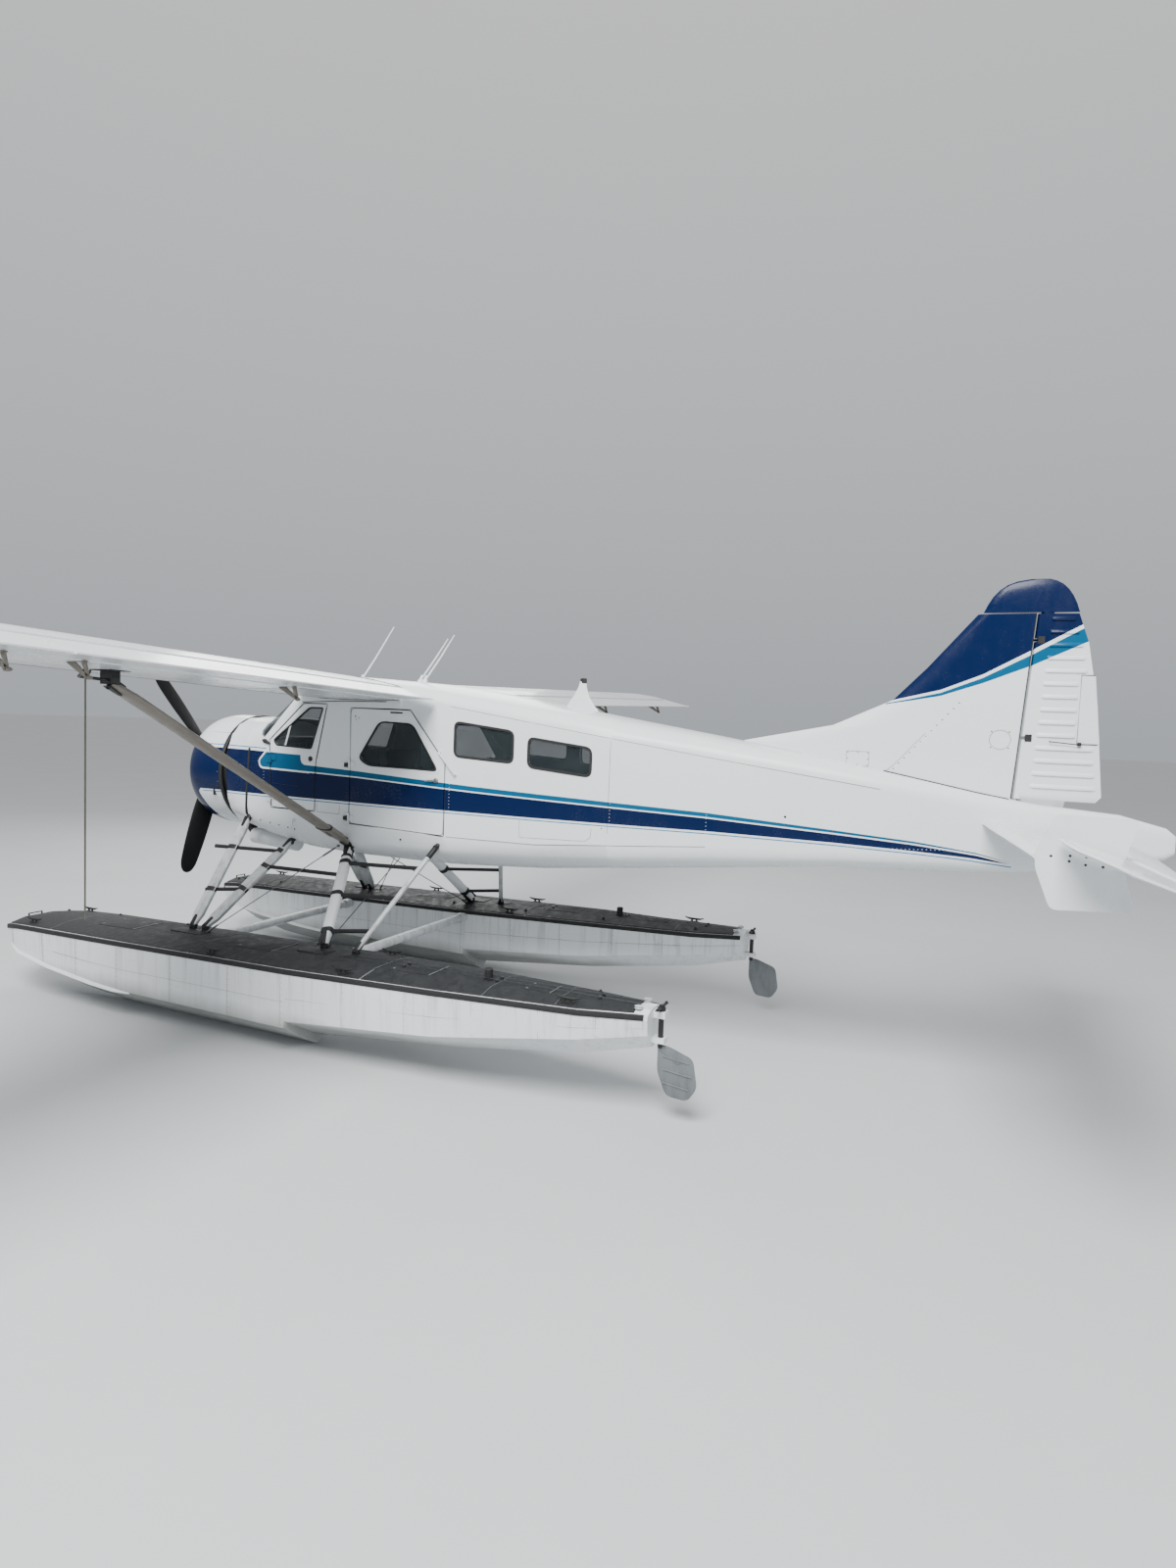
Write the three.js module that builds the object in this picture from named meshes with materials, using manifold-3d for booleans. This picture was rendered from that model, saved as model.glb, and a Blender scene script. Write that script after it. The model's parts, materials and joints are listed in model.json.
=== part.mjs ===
// A single-engine high-wing seaplane on twin floats, standing on its keels, in millimetres.
// The nose looks along -Y, the left wing is +X and Z is up. Lengths along the body are stations,
// counted aft from the propeller's plane, and the whole aeroplane is moved forward at the end
// so that its origin is the middle of its footprint, on the floor.
import * as THREE from 'three';
import { mergeVertices } from 'three/addons/utils/BufferGeometryUtils.js';
import Module from 'manifold-3d';

const wasm = await Module();
wasm.setup();

// Driving dimensions
const span = 14630;
const chord = 1590;
const propellerRadius = 1295;
const tailHalfSpan = 2415;
const middleStation = 4091;
const firewall = 1050;
const tailEnd = 9362;
const seat = 0.3;

const skin = 30;
const doorGap = 7;

const thrustHeight = 2335;
const cowlHeight = 2285;

const wingLead = 1802;
const wingTrail = wingLead + chord;
const wingTrailHeight = 3094;
const incidence = THREE.MathUtils.degToRad(2.5);
const dihedral = THREE.MathUtils.degToRad(1.79);
const sparEnd = 0.745;
const surfaceNose = 50;
const surfaceSlot = 14;
const flapEnd = 4205;
const aileronEnd = 6960;

const floatTrack = 1430;
const stepStation = 2760;

// Colours from the aeroplane, as roughness and metalness pairs with them
const look = (color, roughness, metalness) => new THREE.MeshStandardMaterial({ color, roughness, metalness });
const white = look(0xe6e9ea, 0.35, 0.0);
const navy = look(0x1b3a78, 0.3, 0.0);
const black = look(0x17181a, 0.6, 0.0);
const greyPaint = look(0xb7babb, 0.5, 0.1);
const bareMetal = look(0x9a9c9e, 0.4, 0.8);
const clearGlass = look(0x3c464c, 0.08, 0.0);
const trim = look(0x3a3a3c, 0.85, 0.0);
const ropeLook = look(0xb9b29f, 0.9, 0.0);

const aircraft = new THREE.Group();
aircraft.position.y = -middleStation;

// A closed geometry as a solid with its faces pointing out
function solid(geometry) {
  const bare = geometry.clone();
  bare.deleteAttribute('normal');
  bare.deleteAttribute('uv');
  const merged = mergeVertices(bare, 1e-3);
  const points = merged.attributes.position;
  const corner = (i) => new THREE.Vector3().fromBufferAttribute(points, i);
  const faces = [];
  let volume = 0;
  for (let i = 0; i < merged.index.count; i += 3) {
    const [a, b, c] = merged.index.array.slice(i, i + 3);
    if (a === b || b === c || c === a) continue;
    faces.push(a, b, c);
    volume += corner(a).dot(corner(b).cross(corner(c)));
  }
  if (volume < 0) faces.reverse();
  return new wasm.Manifold(new wasm.Mesh({
    numProp: 3,
    vertProperties: new Float32Array(points.array),
    triVerts: new Uint32Array(faces),
  }));
}

function geometryOf(body) {
  const { vertProperties, triVerts } = body.getMesh();
  const geometry = new THREE.BufferGeometry();
  geometry.setAttribute('position', new THREE.BufferAttribute(vertProperties, 3));
  geometry.setIndex(new THREE.BufferAttribute(triVerts, 1));
  return geometry;
}

function add(name, body, material) {
  const geometry = geometryOf(body);
  geometry.computeVertexNormals();
  const mesh = new THREE.Mesh(geometry, material);
  mesh.name = name;
  aircraft.add(mesh);
}

function moved(body, matrix) {
  return solid(geometryOf(body).applyMatrix4(matrix));
}

function shifted(body, x, y, z) {
  return moved(body, new THREE.Matrix4().makeTranslation(x, y, z));
}

// The same body on the right side of the aeroplane
function mirrored(body) {
  const geometry = geometryOf(body);
  return solid(geometry.applyMatrix4(new THREE.Matrix4().makeScale(-1, 1, 1)));
}

// A left piece and its mirror image, each trimmed to what it rests against on the middle line
function addPair(name, body, material, neighbour = null) {
  const sides = { left: body, right: mirrored(body) };
  for (const [side, whole] of Object.entries(sides)) {
    add(`${name}_${side}`, neighbour ? whole.subtract(neighbour) : whole, material);
  }
}

// Triangles that close a ring lying in a plane across one axis, running the ring's own way round
function capOf(ring) {
  const spread = [0, 1, 2].map((axis) => {
    const values = ring.map((point) => point[axis]);
    return Math.max(...values) - Math.min(...values);
  });
  const flat = spread.indexOf(Math.min(...spread));
  const [u, v] = [0, 1, 2].filter((axis) => axis !== flat);
  const contour = ring.map((point) => new THREE.Vector2(point[u], point[v]));
  const turn = THREE.ShapeUtils.area(contour);
  return THREE.ShapeUtils.triangulateShape(contour, []).map((face) => {
    const area = THREE.ShapeUtils.area(face.map((i) => contour[i]));
    return area * turn > 0 ? face : [face[0], face[2], face[1]];
  });
}

// A closed body through rings of equally many points
function loft(rings) {
  const count = rings[0].length;
  const index = [];
  for (let r = 0; r < rings.length - 1; r += 1) {
    for (let i = 0; i < count; i += 1) {
      const a = r * count + i;
      const b = r * count + ((i + 1) % count);
      index.push(a, b, b + count, a, b + count, a + count);
    }
  }
  const last = (rings.length - 1) * count;
  capOf(rings[0]).forEach(([i, j, k]) => index.push(i, k, j));
  capOf(rings[rings.length - 1]).forEach(([i, j, k]) => index.push(last + i, last + j, last + k));
  const geometry = new THREE.BufferGeometry();
  geometry.setAttribute('position', new THREE.Float32BufferAttribute(rings.flat(2), 3));
  geometry.setIndex(index);
  return solid(geometry);
}

function block(x0, x1, y0, y1, z0, z1) {
  const geometry = new THREE.BoxGeometry(x1 - x0, y1 - y0, z1 - z0);
  geometry.translate((x0 + x1) / 2, (y0 + y1) / 2, (z0 + z1) / 2);
  return solid(geometry);
}

// A side-view outline of [station, height] corners, with rounded corners, swept from x0 to x1
function sideOutline(corners, x0, x1, rounding = 0) {
  const points = corners.map(([y, z]) => new THREE.Vector2(y, z));
  const shape = new THREE.Shape();
  points.forEach((corner, i) => {
    const before = points[(i + points.length - 1) % points.length];
    const after = points[(i + 1) % points.length];
    const back = before.clone().sub(corner);
    const ahead = after.clone().sub(corner);
    const reach = Math.min(rounding, back.length() * 0.45, ahead.length() * 0.45);
    const start = corner.clone().add(back.setLength(reach));
    const end = corner.clone().add(ahead.setLength(reach));
    if (i === 0) shape.moveTo(start.x, start.y);
    else shape.lineTo(start.x, start.y);
    if (rounding > 0) shape.quadraticCurveTo(corner.x, corner.y, end.x, end.y);
  });
  shape.closePath();
  const settings = { depth: x1 - x0, bevelEnabled: false, curveSegments: 3 };
  const geometry = new THREE.ExtrudeGeometry(shape, settings);
  geometry.applyMatrix4(new THREE.Matrix4().makeBasis(
    new THREE.Vector3(0, 1, 0),
    new THREE.Vector3(0, 0, 1),
    new THREE.Vector3(1, 0, 0),
  ));
  geometry.translate(x0, 0, 0);
  return solid(geometry);
}

// End rings of a straight elliptical bar between two points, its chord lying along the flight line
function barRings(from, to, chordWidth, thickness, sides, scaleFrom = 1, scaleTo = 1) {
  const start = new THREE.Vector3(...from);
  const end = new THREE.Vector3(...to);
  const along = end.clone().sub(start).normalize();
  const flight = Math.abs(along.y) > 0.9 ? new THREE.Vector3(0, 0, 1) : new THREE.Vector3(0, 1, 0);
  const wide = flight.sub(along.clone().multiplyScalar(flight.dot(along))).normalize();
  const thin = along.clone().cross(wide);
  const ringAt = (centre, scale) => Array.from({ length: sides }, (_, i) => {
    const turn = (i / sides) * 2 * Math.PI;
    return centre.clone()
      .addScaledVector(wide, Math.cos(turn) * scale * chordWidth / 2)
      .addScaledVector(thin, Math.sin(turn) * thickness / 2)
      .toArray();
  });
  return [ringAt(start, scaleFrom), ringAt(end, scaleTo)];
}

function bar(from, to, chordWidth, thickness = chordWidth, sides = 12) {
  return loft(barRings(from, to, chordWidth, thickness, sides));
}

// A bar whose chord narrows over a length at each end, as a strut does towards its fittings
function strut(from, to, chordWidth, thickness, sides = 12) {
  const start = new THREE.Vector3(...from);
  const end = new THREE.Vector3(...to);
  const narrow = 0.4;
  const taper = 1.1 * chordWidth / start.distanceTo(end);
  const at = (part) => start.clone().lerp(end, part).toArray();
  const pieces = [[0, taper, narrow, 1], [taper, 1 - taper, 1, 1], [1 - taper, 1, 1, narrow]];
  const rings = pieces.map(([a, b, wideA, wideB]) => (
    barRings(at(a), at(b), chordWidth, thickness, sides, wideA, wideB)));
  return loft([rings[0][0], rings[1][0], rings[2][0], rings[2][1]]);
}

// Body of the aeroplane: half width, where the flat side ends above, crown, where it ends below, belly
const bodySections = [
  // station, half width, side top, crown, side bottom, belly
  [firewall, 610, 2560, 2885, 1960, 1655],
  [1250, 618, 2640, 2905, 1930, 1600],
  [1750, 622, 3120, 3225, 1880, 1520],
  [2300, 622, 3270, 3330, 1855, 1505],
  [3150, 622, 3160, 3282, 1850, 1507],
  [3540, 612, 3055, 3240, 1850, 1520],
  [4380, 570, 2933, 3117, 1860, 1572],
  [5100, 505, 2828, 3010, 1900, 1645],
  [5950, 395, 2705, 2886, 1955, 1732],
  [7000, 280, 2552, 2722, 2010, 1840],
  [8040, 165, 2400, 2530, 2060, 1895],
  [8480, 115, 2350, 2466, 2085, 1945],
  [9000, 68, 2300, 2428, 2120, 2040],
  [9300, 42, 2262, 2352, 2180, 2118],
  [tailEnd, 20, 2240, 2300, 2200, 2160],
];
const cabinEnd = 5100;
const cabinFloor = 1850;

function bodyRing([station, half, sideTop, crown, sideBottom, belly], inset) {
  const quarter = 5;
  const boxy = 0.8;
  const ring = [];
  for (let i = 0; i <= 4 * quarter; i += 1) {
    const turn = (i / (4 * quarter)) * 2 * Math.PI;
    const [c, s] = [Math.cos(turn), Math.sin(turn)];
    const across = Math.sign(c) * Math.abs(c) ** boxy * (half - inset);
    const rise = Math.abs(s) ** boxy;
    if (i === 4 * quarter) {
      ring.push([half - inset, station, sideBottom]);
    } else if (i <= 2 * quarter) {
      ring.push([Math.abs(c) < 1e-9 ? 0 : across, station, sideTop + rise * (crown - inset - sideTop)]);
      if (i === 2 * quarter) ring.push([-(half - inset), station, sideBottom]);
    } else {
      ring.push([Math.abs(c) < 1e-9 ? 0 : across, station, sideBottom - rise * (sideBottom - belly - inset)]);
    }
  }
  return ring;
}

const lerpSection = (station) => {
  const next = bodySections.findIndex((section) => section[0] >= station);
  const [a, b] = [bodySections[Math.max(next - 1, 0)], bodySections[next]];
  const t = next === 0 ? 0 : (station - a[0]) / (b[0] - a[0]);
  return a.map((value, i) => THREE.MathUtils.lerp(value, b[i], t));
};

function fuselage(from, to, inset = 0) {
  const between = bodySections.filter(([station]) => station > from && station < to);
  return loft([lerpSection(from), ...between, lerpSection(to)].map((section) => bodyRing(section, inset)));
}

// Openings in the body's side, as outlines of [station, height]
const pilotDoorOutline = [[1410, 1965], [1375, 2655], [1815, 3040], [2112, 3040], [1978, 2450], [1975, 1965]];
const pilotWindowOutline = [[1462, 2604], [1430, 2655], [1893, 3000], [2062, 3000], [1920, 2588]];
const cabinDoorOutline = [[2403, 1878], [2403, 3010], [3100, 3010], [3493, 2530], [3493, 1845]];
const cabinWindowOutline = [[2505, 2525], [2745, 2888], [3125, 2880], [3415, 2450], [2614, 2460]];
const rearWindowOutlines = [
  [[3590, 2600], [3590, 2915], [4185, 2848], [4185, 2568]],
  [[4340, 2541], [4340, 2801], [4930, 2731], [4930, 2486]],
];
const windscreenOutline = [[1255, 2700], [1255, 3400], [1690, 3400], [1690, 3072], [1300, 2672]];
const wide = 900;
const windowRounding = 60;

// The outline moved inwards by a distance, for a door or pane that sits in an opening
function shrunk(corners, distance) {
  const points = corners.map(([y, z]) => new THREE.Vector2(y, z));
  const turn = Math.sign(THREE.ShapeUtils.area(points));
  return points.map((corner, i) => {
    const before = points[(i + points.length - 1) % points.length];
    const after = points[(i + 1) % points.length];
    const into = corner.clone().sub(before).normalize();
    const out = after.clone().sub(corner).normalize();
    const sideA = new THREE.Vector2(-into.y, into.x).multiplyScalar(turn);
    const sideB = new THREE.Vector2(-out.y, out.x).multiplyScalar(turn);
    const middle = sideA.clone().add(sideB).normalize();
    return corner.clone().addScaledVector(middle, distance / middle.dot(sideA)).toArray();
  });
}

const cabinSkin = fuselage(firewall, cabinEnd).subtract(fuselage(firewall + 1, cabinEnd - 1, skin));

const windscreenHalf = 640;

function cabin() {
  const upper = fuselage(firewall + skin, cabinEnd - skin, skin)
    .subtract(block(-wide, wide, 0, 2 * cabinEnd, 0, cabinFloor));
  const lower = fuselage(firewall + skin, cabinEnd + 10, skin)
    .intersect(block(-wide, wide, 0, 2 * cabinEnd, 0, cabinFloor - skin));
  let shell = fuselage(firewall, cabinEnd).subtract(upper).subtract(lower);
  shell = shell.subtract(sideOutline(windscreenOutline, -windscreenHalf, windscreenHalf));
  for (const outline of [pilotDoorOutline, cabinDoorOutline]) {
    shell = shell.subtract(sideOutline(outline, -wide, wide, 40));
  }
  for (const outline of rearWindowOutlines) {
    shell = shell.subtract(sideOutline(outline, -wide, wide, windowRounding));
  }
  return shell;
}

function pane(outline, rounding, x0, x1) {
  const sheet = fuselage(firewall + 2, cabinEnd - 2, 8).subtract(fuselage(firewall + 1, cabinEnd - 1, 14));
  return sheet.intersect(sideOutline(shrunk(outline, seat), x0, x1, rounding));
}

// Door hinges: barrels outside the skin at the door's front edge, on one upright line
const hingeOffset = 14;
const hingeRadius = 11;
const doors = [
  // name, door outline, window outline, window rounding, hinge station, flank x, barrel heights
  ['pilot_door', pilotDoorOutline, pilotWindowOutline, 24, 1403, 619, [2080, 2480]],
  ['cabin_door', cabinDoorOutline, cabinWindowOutline, 60, 2406, 622, [1928, 2458]],
];

// Half of a hinge: its barrel and a strap that reaches back or forward to its foot in the skin
function hingeHalf(flank, station, way, z0, z1) {
  const x = flank + hingeOffset;
  const ends = [station, station + way * 60].sort((a, b) => a - b);
  const foot = [station + way * 26, station + way * 60].sort((a, b) => a - b);
  return bar([x, station, z0], [x, station, z1], 2 * hingeRadius)
    .add(block(flank + 4, flank + 10, ...ends, z0, z1))
    .add(block(flank - 8, flank + 10, ...foot, z0, z1));
}

let shell = cabin();
for (const [name, outline, window, rounding, station, flank, heights] of doors) {
  let door = cabinSkin.intersect(sideOutline(shrunk(outline, doorGap), 300, wide, 40 - doorGap));
  door = door.subtract(sideOutline(window, 300, wide, rounding));
  for (const height of heights) {
    door = door.add(hingeHalf(flank, station, 1, height - 30, height + 30));
    for (const z of [height - 30.5 - 25, height + 30.5]) {
      const fixed = hingeHalf(flank, station, -1, z, z + 25);
      shell = shell.add(fixed).add(mirrored(fixed));
    }
  }
  addPair(name, door, white);
  addPair(`${name}_glass`, pane(window, rounding, 300, wide), clearGlass);
}
add('cabin', shell, white);
rearWindowOutlines.forEach((outline, i) => {
  addPair(`cabin_glass_${i + 1}`, pane(outline, windowRounding, 300, wide), clearGlass);
});
add('windscreen', pane(windscreenOutline, 0, -windscreenHalf + seat, windscreenHalf - seat), clearGlass);

// Tail of the body, open at its front end, with the bore of the elevator's tube
const elevatorAxis = { station: 8760, height: 2300 };
const torqueTube = 22;
const pinSides = 16;
const pinGap = 0.6;
const tailBore = bar(
  [-300, elevatorAxis.station, elevatorAxis.height],
  [300, elevatorAxis.station, elevatorAxis.height],
  2 * (torqueTube + pinGap), 2 * (torqueTube + pinGap), pinSides,
);
const tailHollow = fuselage(cabinEnd - 10, 8040, skin / 2);

// Fin, with its long dorsal fillet
const rudderAxis = (height) => 8318 + (height - 2490) * 0.0555;
const rudderPostRadius = 18;
const rudderPost = (z0, z1, radius) => bar([0, rudderAxis(z0), z0], [0, rudderAxis(z1), z1],
  2 * radius, 2 * radius, pinSides);
const rudderHinges = [2971, 3716];
const rudderNose = (height) => 46 - (height - 2505) * 0.00704;
const pinRadius = 9;
const bracketHalf = 8;
const pocketHalf = 14;
const finSections = [
  // height, leading edge station, half thickness
  [2480, 6050, 55],
  [2860, 6150, 55],
  [3018, 6892, 54],
  [3237, 7354, 52],
  [3500, 7600, 49],
  [3915, 7945, 42],
];
const hingeClearance = 7;
const finTrail = (height) => rudderAxis(height) - rudderNose(height) - hingeClearance;
const tailWall = 8;

function finRing([height, lead, half], wall = 0) {
  const front = lead + 6 * wall;
  const length = finTrail(height) - wall - front;
  const at = (part, width) => [width * (half - wall), front + part * length, height];
  return [
    at(0, 0), at(0.04, 0.35), at(0.25, 0.9), at(1, 0.95), at(1, -0.95), at(0.25, -0.9), at(0.04, -0.35),
  ];
}

const rudderSections = [
  // height, trailing edge station
  [2505, 8836],
  [2548, 8872],
  [3233, 8803],
  [3700, 8715],
  [3915, 8640],
];
const hornSections = [
  // height, leading edge, trailing edge, half thickness
  [3926, 7982, 8642, 36],
  [3990, 8010, 8620, 35],
  [4050, 8044, 8592, 32],
  [4100, 8088, 8558, 27],
  [4138, 8140, 8520, 21],
  [4164, 8208, 8474, 14],
  [4178, 8290, 8430, 7],
];

function noseRing(axis, trail, radius, place) {
  const arc = [90, 135, 180, 225, 270].map((degrees) => {
    const turn = THREE.MathUtils.degToRad(degrees);
    return place(axis + radius * Math.cos(turn), radius * Math.sin(turn));
  });
  return [...arc, place(trail, -5), place(trail, 5)];
}

function rudder() {
  const blade = loft(rudderSections.map(([height, trail]) => noseRing(
    rudderAxis(height), trail, rudderNose(height), (y, x) => [x, y, height])));
  const horn = loft(hornSections.map(([height, lead, trail, half]) => {
    const at = (part, width) => [width * half, lead + part * (trail - lead), height];
    return [at(0, 0), at(0.12, 0.7), at(0.5, 1), at(1, 0.12), at(1, -0.12), at(0.5, -1), at(0.12, -0.7)];
  }));
  const neck = bar([0, rudderAxis(3915) + 30, 3915], [0, rudderAxis(3945) + 30, 3945], 90, 60);
  const post = rudderPost(2380, 2520, rudderPostRadius);
  let body = blade.add(horn).add(neck).add(post);
  for (const height of rudderHinges) {
    const axis = rudderAxis(height);
    body = body.subtract(block(-60, 60, axis - 60, axis + 28, height - pocketHalf, height + pocketHalf))
      .add(rudderPost(height - 32, height + 32, pinRadius));
  }
  return body;
}

// Eyes on the fin's rear edge that hold the rudder's pins
function rudderBracket(height) {
  const axis = rudderAxis(height);
  const root = finTrail(height) - tailWall / 2;
  return block(-18, 18, root, axis + 16, height - bracketHalf, height + bracketHalf)
    .subtract(rudderPost(height - 30, height + 30, pinRadius + pinGap));
}

const postBore = rudderPost(2370, 2530, rudderPostRadius + pinGap);
const bodyGrown = fuselage(firewall, tailEnd, -seat);
const tailShell = fuselage(cabinEnd + seat, tailEnd).subtract(tailHollow);
add('tail_body', tailShell.subtract(tailBore).subtract(postBore), white);
const finOuter = loft(finSections.map((section) => finRing(section)));
const finInner = loft(finSections.map(([height, lead, half], i) => finRing(
  [height - (i === 0 ? 10 : 0) - (i === finSections.length - 1 ? tailWall : 0), lead, half], tailWall)));
const finShell = rudderHinges.reduce((body, height) => body.add(rudderBracket(height)),
  finOuter.subtract(finInner));
add('fin', finShell.subtract(bodyGrown), white);
add('rudder', rudder(), white);

// Tailplane halves against the body's sides, with an upright end plate on each
const tailplaneSections = [
  // x, leading edge station, half thickness
  [60, 8060, 62],
  [300, 8096, 60],
  [1985, 8325, 44],
];
const elevatorNose = 40;
const tailplaneTrail = elevatorAxis.station - elevatorNose - 12;

function tailplaneRing([x, lead, half], wall = 0) {
  const front = lead + 3 * wall;
  const length = tailplaneTrail - wall - front;
  const at = (part, width) => [x, front + part * length, elevatorAxis.height + width * (half - wall)];
  return [at(0, 0), at(0.06, 0.5), at(0.35, 1), at(1, 0.8), at(1, -0.8), at(0.35, -1), at(0.06, -0.5)];
}
const tailplaneOuter = loft(tailplaneSections.map((section) => tailplaneRing(section)));
const tailplaneInner = loft(tailplaneSections.map(([x, lead, half], i) => tailplaneRing(
  [x + [-10, 0, -tailWall][i], lead, half], tailWall)));

// Eyes on the tailplane's rear edge that hold the elevator's pins
const elevatorHinges = [700, 1600];
const levelPin = (x, half, radius) => bar([x - half, elevatorAxis.station, elevatorAxis.height],
  [x + half, elevatorAxis.station, elevatorAxis.height], 2 * radius, 2 * radius, pinSides);

function elevatorBracket(x) {
  const { station, height } = elevatorAxis;
  const root = tailplaneTrail - tailWall / 2;
  return sideOutline([
    [root, height + 20], [station, height + 22], [station + 22, height],
    [station, height - 22], [root, height - 20],
  ], x - bracketHalf, x + bracketHalf, 8).subtract(levelPin(x, 40, pinRadius + pinGap));
}
const tailplane = elevatorHinges.reduce((body, x) => body.add(elevatorBracket(x)),
  tailplaneOuter.subtract(tailplaneInner));
addPair('tailplane', tailplane, white, bodyGrown);

const plateX = 1985 + seat;
const plateOutline = [
  [8345, 2240], [8437, 2002], [8849, 2033], [8785, 2262],
  [8785, 2338], [8845, 2538], [8437, 2547], [8345, 2340],
];
addPair('end_plate', sideOutline(plateOutline, plateX, plateX + 14, 40), white);

// Elevator: both halves on one tube, drooped about its hinge line as it is when parked
const droop = THREE.MathUtils.degToRad(19.5);
const elevatorSections = [
  // x, trailing edge station, nose radius
  [125, 9270, elevatorNose],
  [2000, 9225, elevatorNose - 6],
  [2330, 9190, 24],
  [tailHalfSpan, 9080, 8],
];
const hornLead = 8430;

function elevator() {
  const half = loft(elevatorSections.map(([x, trail, radius]) => noseRing(
    elevatorAxis.station, trail, radius, (y, z) => [x, y, elevatorAxis.height + z])));
  const balance = loft([[2045, hornLead, 30], [2330, hornLead + 60, 22], [tailHalfSpan, hornLead + 260, 8]]
    .map(([x, lead, thick]) => {
      const at = (y, width) => [x, y, elevatorAxis.height + width * thick];
      const back = elevatorAxis.station + 60;
      return [at(lead, 0), at(lead + 30, 0.6), at(back, 1), at(back, -1), at(lead + 30, -0.6)];
    }));
  const slot = block(plateX - 22, plateX + 14 + 22, 8600, elevatorAxis.station + 120, 2200, 2400);
  let side = half.subtract(slot).add(balance);
  for (const x of elevatorHinges) {
    const { station, height } = elevatorAxis;
    const pocket = block(x - pocketHalf, x + pocketHalf, station - 60, station + 40,
      height - 90, height + 90);
    side = side.subtract(pocket).add(levelPin(x, 32, pinRadius));
  }
  const tube = bar(
    [-140, elevatorAxis.station, elevatorAxis.height],
    [140, elevatorAxis.station, elevatorAxis.height],
    2 * torqueTube, 2 * torqueTube, pinSides,
  );
  const turn = new THREE.Matrix4()
    .makeTranslation(0, elevatorAxis.station, elevatorAxis.height)
    .multiply(new THREE.Matrix4().makeRotationX(-droop))
    .multiply(new THREE.Matrix4().makeTranslation(0, -elevatorAxis.station, -elevatorAxis.height));
  return moved(side.add(mirrored(side)).add(tube), turn);
}
add('elevator', elevator(), white);

// Wing: a cambered section, its rear part cut away for the flap and aileron
const camber = (part) => (part < 0.4
  ? (0.03 / 0.16) * (0.8 * part - part * part)
  : (0.03 / 0.36) * (0.2 + 0.8 * part - part * part)) * chord;
const halfThickness = (part) => 0.725 * chord * (0.2969 * Math.sqrt(part) - 0.126 * part
  - 0.3516 * part ** 2 + 0.2843 * part ** 3 - 0.1015 * part ** 4);
const chordHeight = (part) => wingTrailHeight + (1 - part) * chord * Math.tan(incidence);
const rise = (x) => x * Math.tan(dihedral);

function wingPoint(x, part, side, scale, grow) {
  const height = chordHeight(part) + scale * (camber(part) + side * halfThickness(part)) + side * grow;
  return [x, wingLead + part * chord, height + rise(x)];
}

const upperParts = [0.6, 0.4, 0.25, 0.12, 0.04, 0];
const lowerParts = [0.04, 0.15, 0.35, 0.55];

function wingRing(x, rear, scale = 1, grow = 0) {
  return [
    wingPoint(x, rear, 1, scale, grow),
    ...upperParts.map((part) => wingPoint(x, part, 1, scale, grow)),
    ...lowerParts.map((part) => wingPoint(x, part, -1, scale, grow)),
    wingPoint(x, rear, -1, scale, grow),
  ];
}

const surfaceAxis = {
  station: wingLead + sparEnd * chord + surfaceSlot + surfaceNose,
  height: 3137,
};

function wingPanel(grow = 0) {
  const spar = loft([wingRing(560, sparEnd, 1, grow), wingRing(aileronEnd + 30, sparEnd, 1, grow)]);
  const tip = loft([
    wingRing(aileronEnd + 15, 0.995, 1, grow),
    wingRing(span / 2 - 190, 0.995, 1, grow),
    wingRing(span / 2 - 60, 0.99, 0.7, grow),
    wingRing(span / 2, 0.97, 0.25, grow),
  ]);
  return spar.add(tip);
}

// Hinge brackets of flap and aileron, by distance from the centreline
const flapBrackets = [1250, 3600];
const aileronBrackets = [4650, 6500];

// A pin along the sloping hinge line of flap and aileron
function hingePin(x, half, radius) {
  const at = (along) => [along, surfaceAxis.station, surfaceAxis.height + rise(along)];
  return bar(at(x - half), at(x + half), 2 * radius, 2 * radius, pinSides);
}

function surface(x0, x1, brackets) {
  let body = loft([x0, x1].map((x) => noseRing(surfaceAxis.station, wingTrail - 4, surfaceNose, (y, z) => {
    const tail = y > surfaceAxis.station + surfaceNose ? chordHeight(1) + z : surfaceAxis.height + z;
    return [x, y, tail + rise(x)];
  })));
  for (const x of brackets) {
    const height = surfaceAxis.height + rise(x);
    const pocket = block(x - pocketHalf, x + pocketHalf, surfaceAxis.station - 70, surfaceAxis.station + 45,
      height - 90, height + 90);
    body = body.subtract(pocket).add(hingePin(x, 30, pinRadius));
  }
  return body;
}

function bracket(x) {
  const height = surfaceAxis.height + rise(x);
  const arm = sideOutline([
    [wingLead + (sparEnd - 0.01) * chord, height + 18], [surfaceAxis.station, height + 22],
    [surfaceAxis.station + 22, height], [surfaceAxis.station, height - 22],
    [wingLead + (sparEnd - 0.01) * chord, height - 18],
  ], x - bracketHalf, x + bracketHalf, 8);
  return arm.subtract(hingePin(x, 40, pinRadius + pinGap));
}

// Fittings under the wing: the strut's lug and the eye that the rope hangs from
const strutLug = [3325, 3395, 2515, 2625, 3085, 3200];
const ropePoint = { x: 3543, station: 2570 };
const ropeEyeFoot = 3121;
const ropeEye = block(ropePoint.x - 14, ropePoint.x + 14, ropePoint.station - 14, ropePoint.station + 14,
  ropeEyeFoot, 3200);

let wing = wingPanel().add(block(...strutLug)).add(ropeEye);
for (const x of [...flapBrackets, ...aileronBrackets]) wing = wing.add(bracket(x));
addPair('wing', wing, white, bodyGrown);
addPair('flap', surface(680, flapEnd - 8, flapBrackets), white);
addPair('aileron', surface(flapEnd + 8, aileronEnd, aileronBrackets), white);

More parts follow.
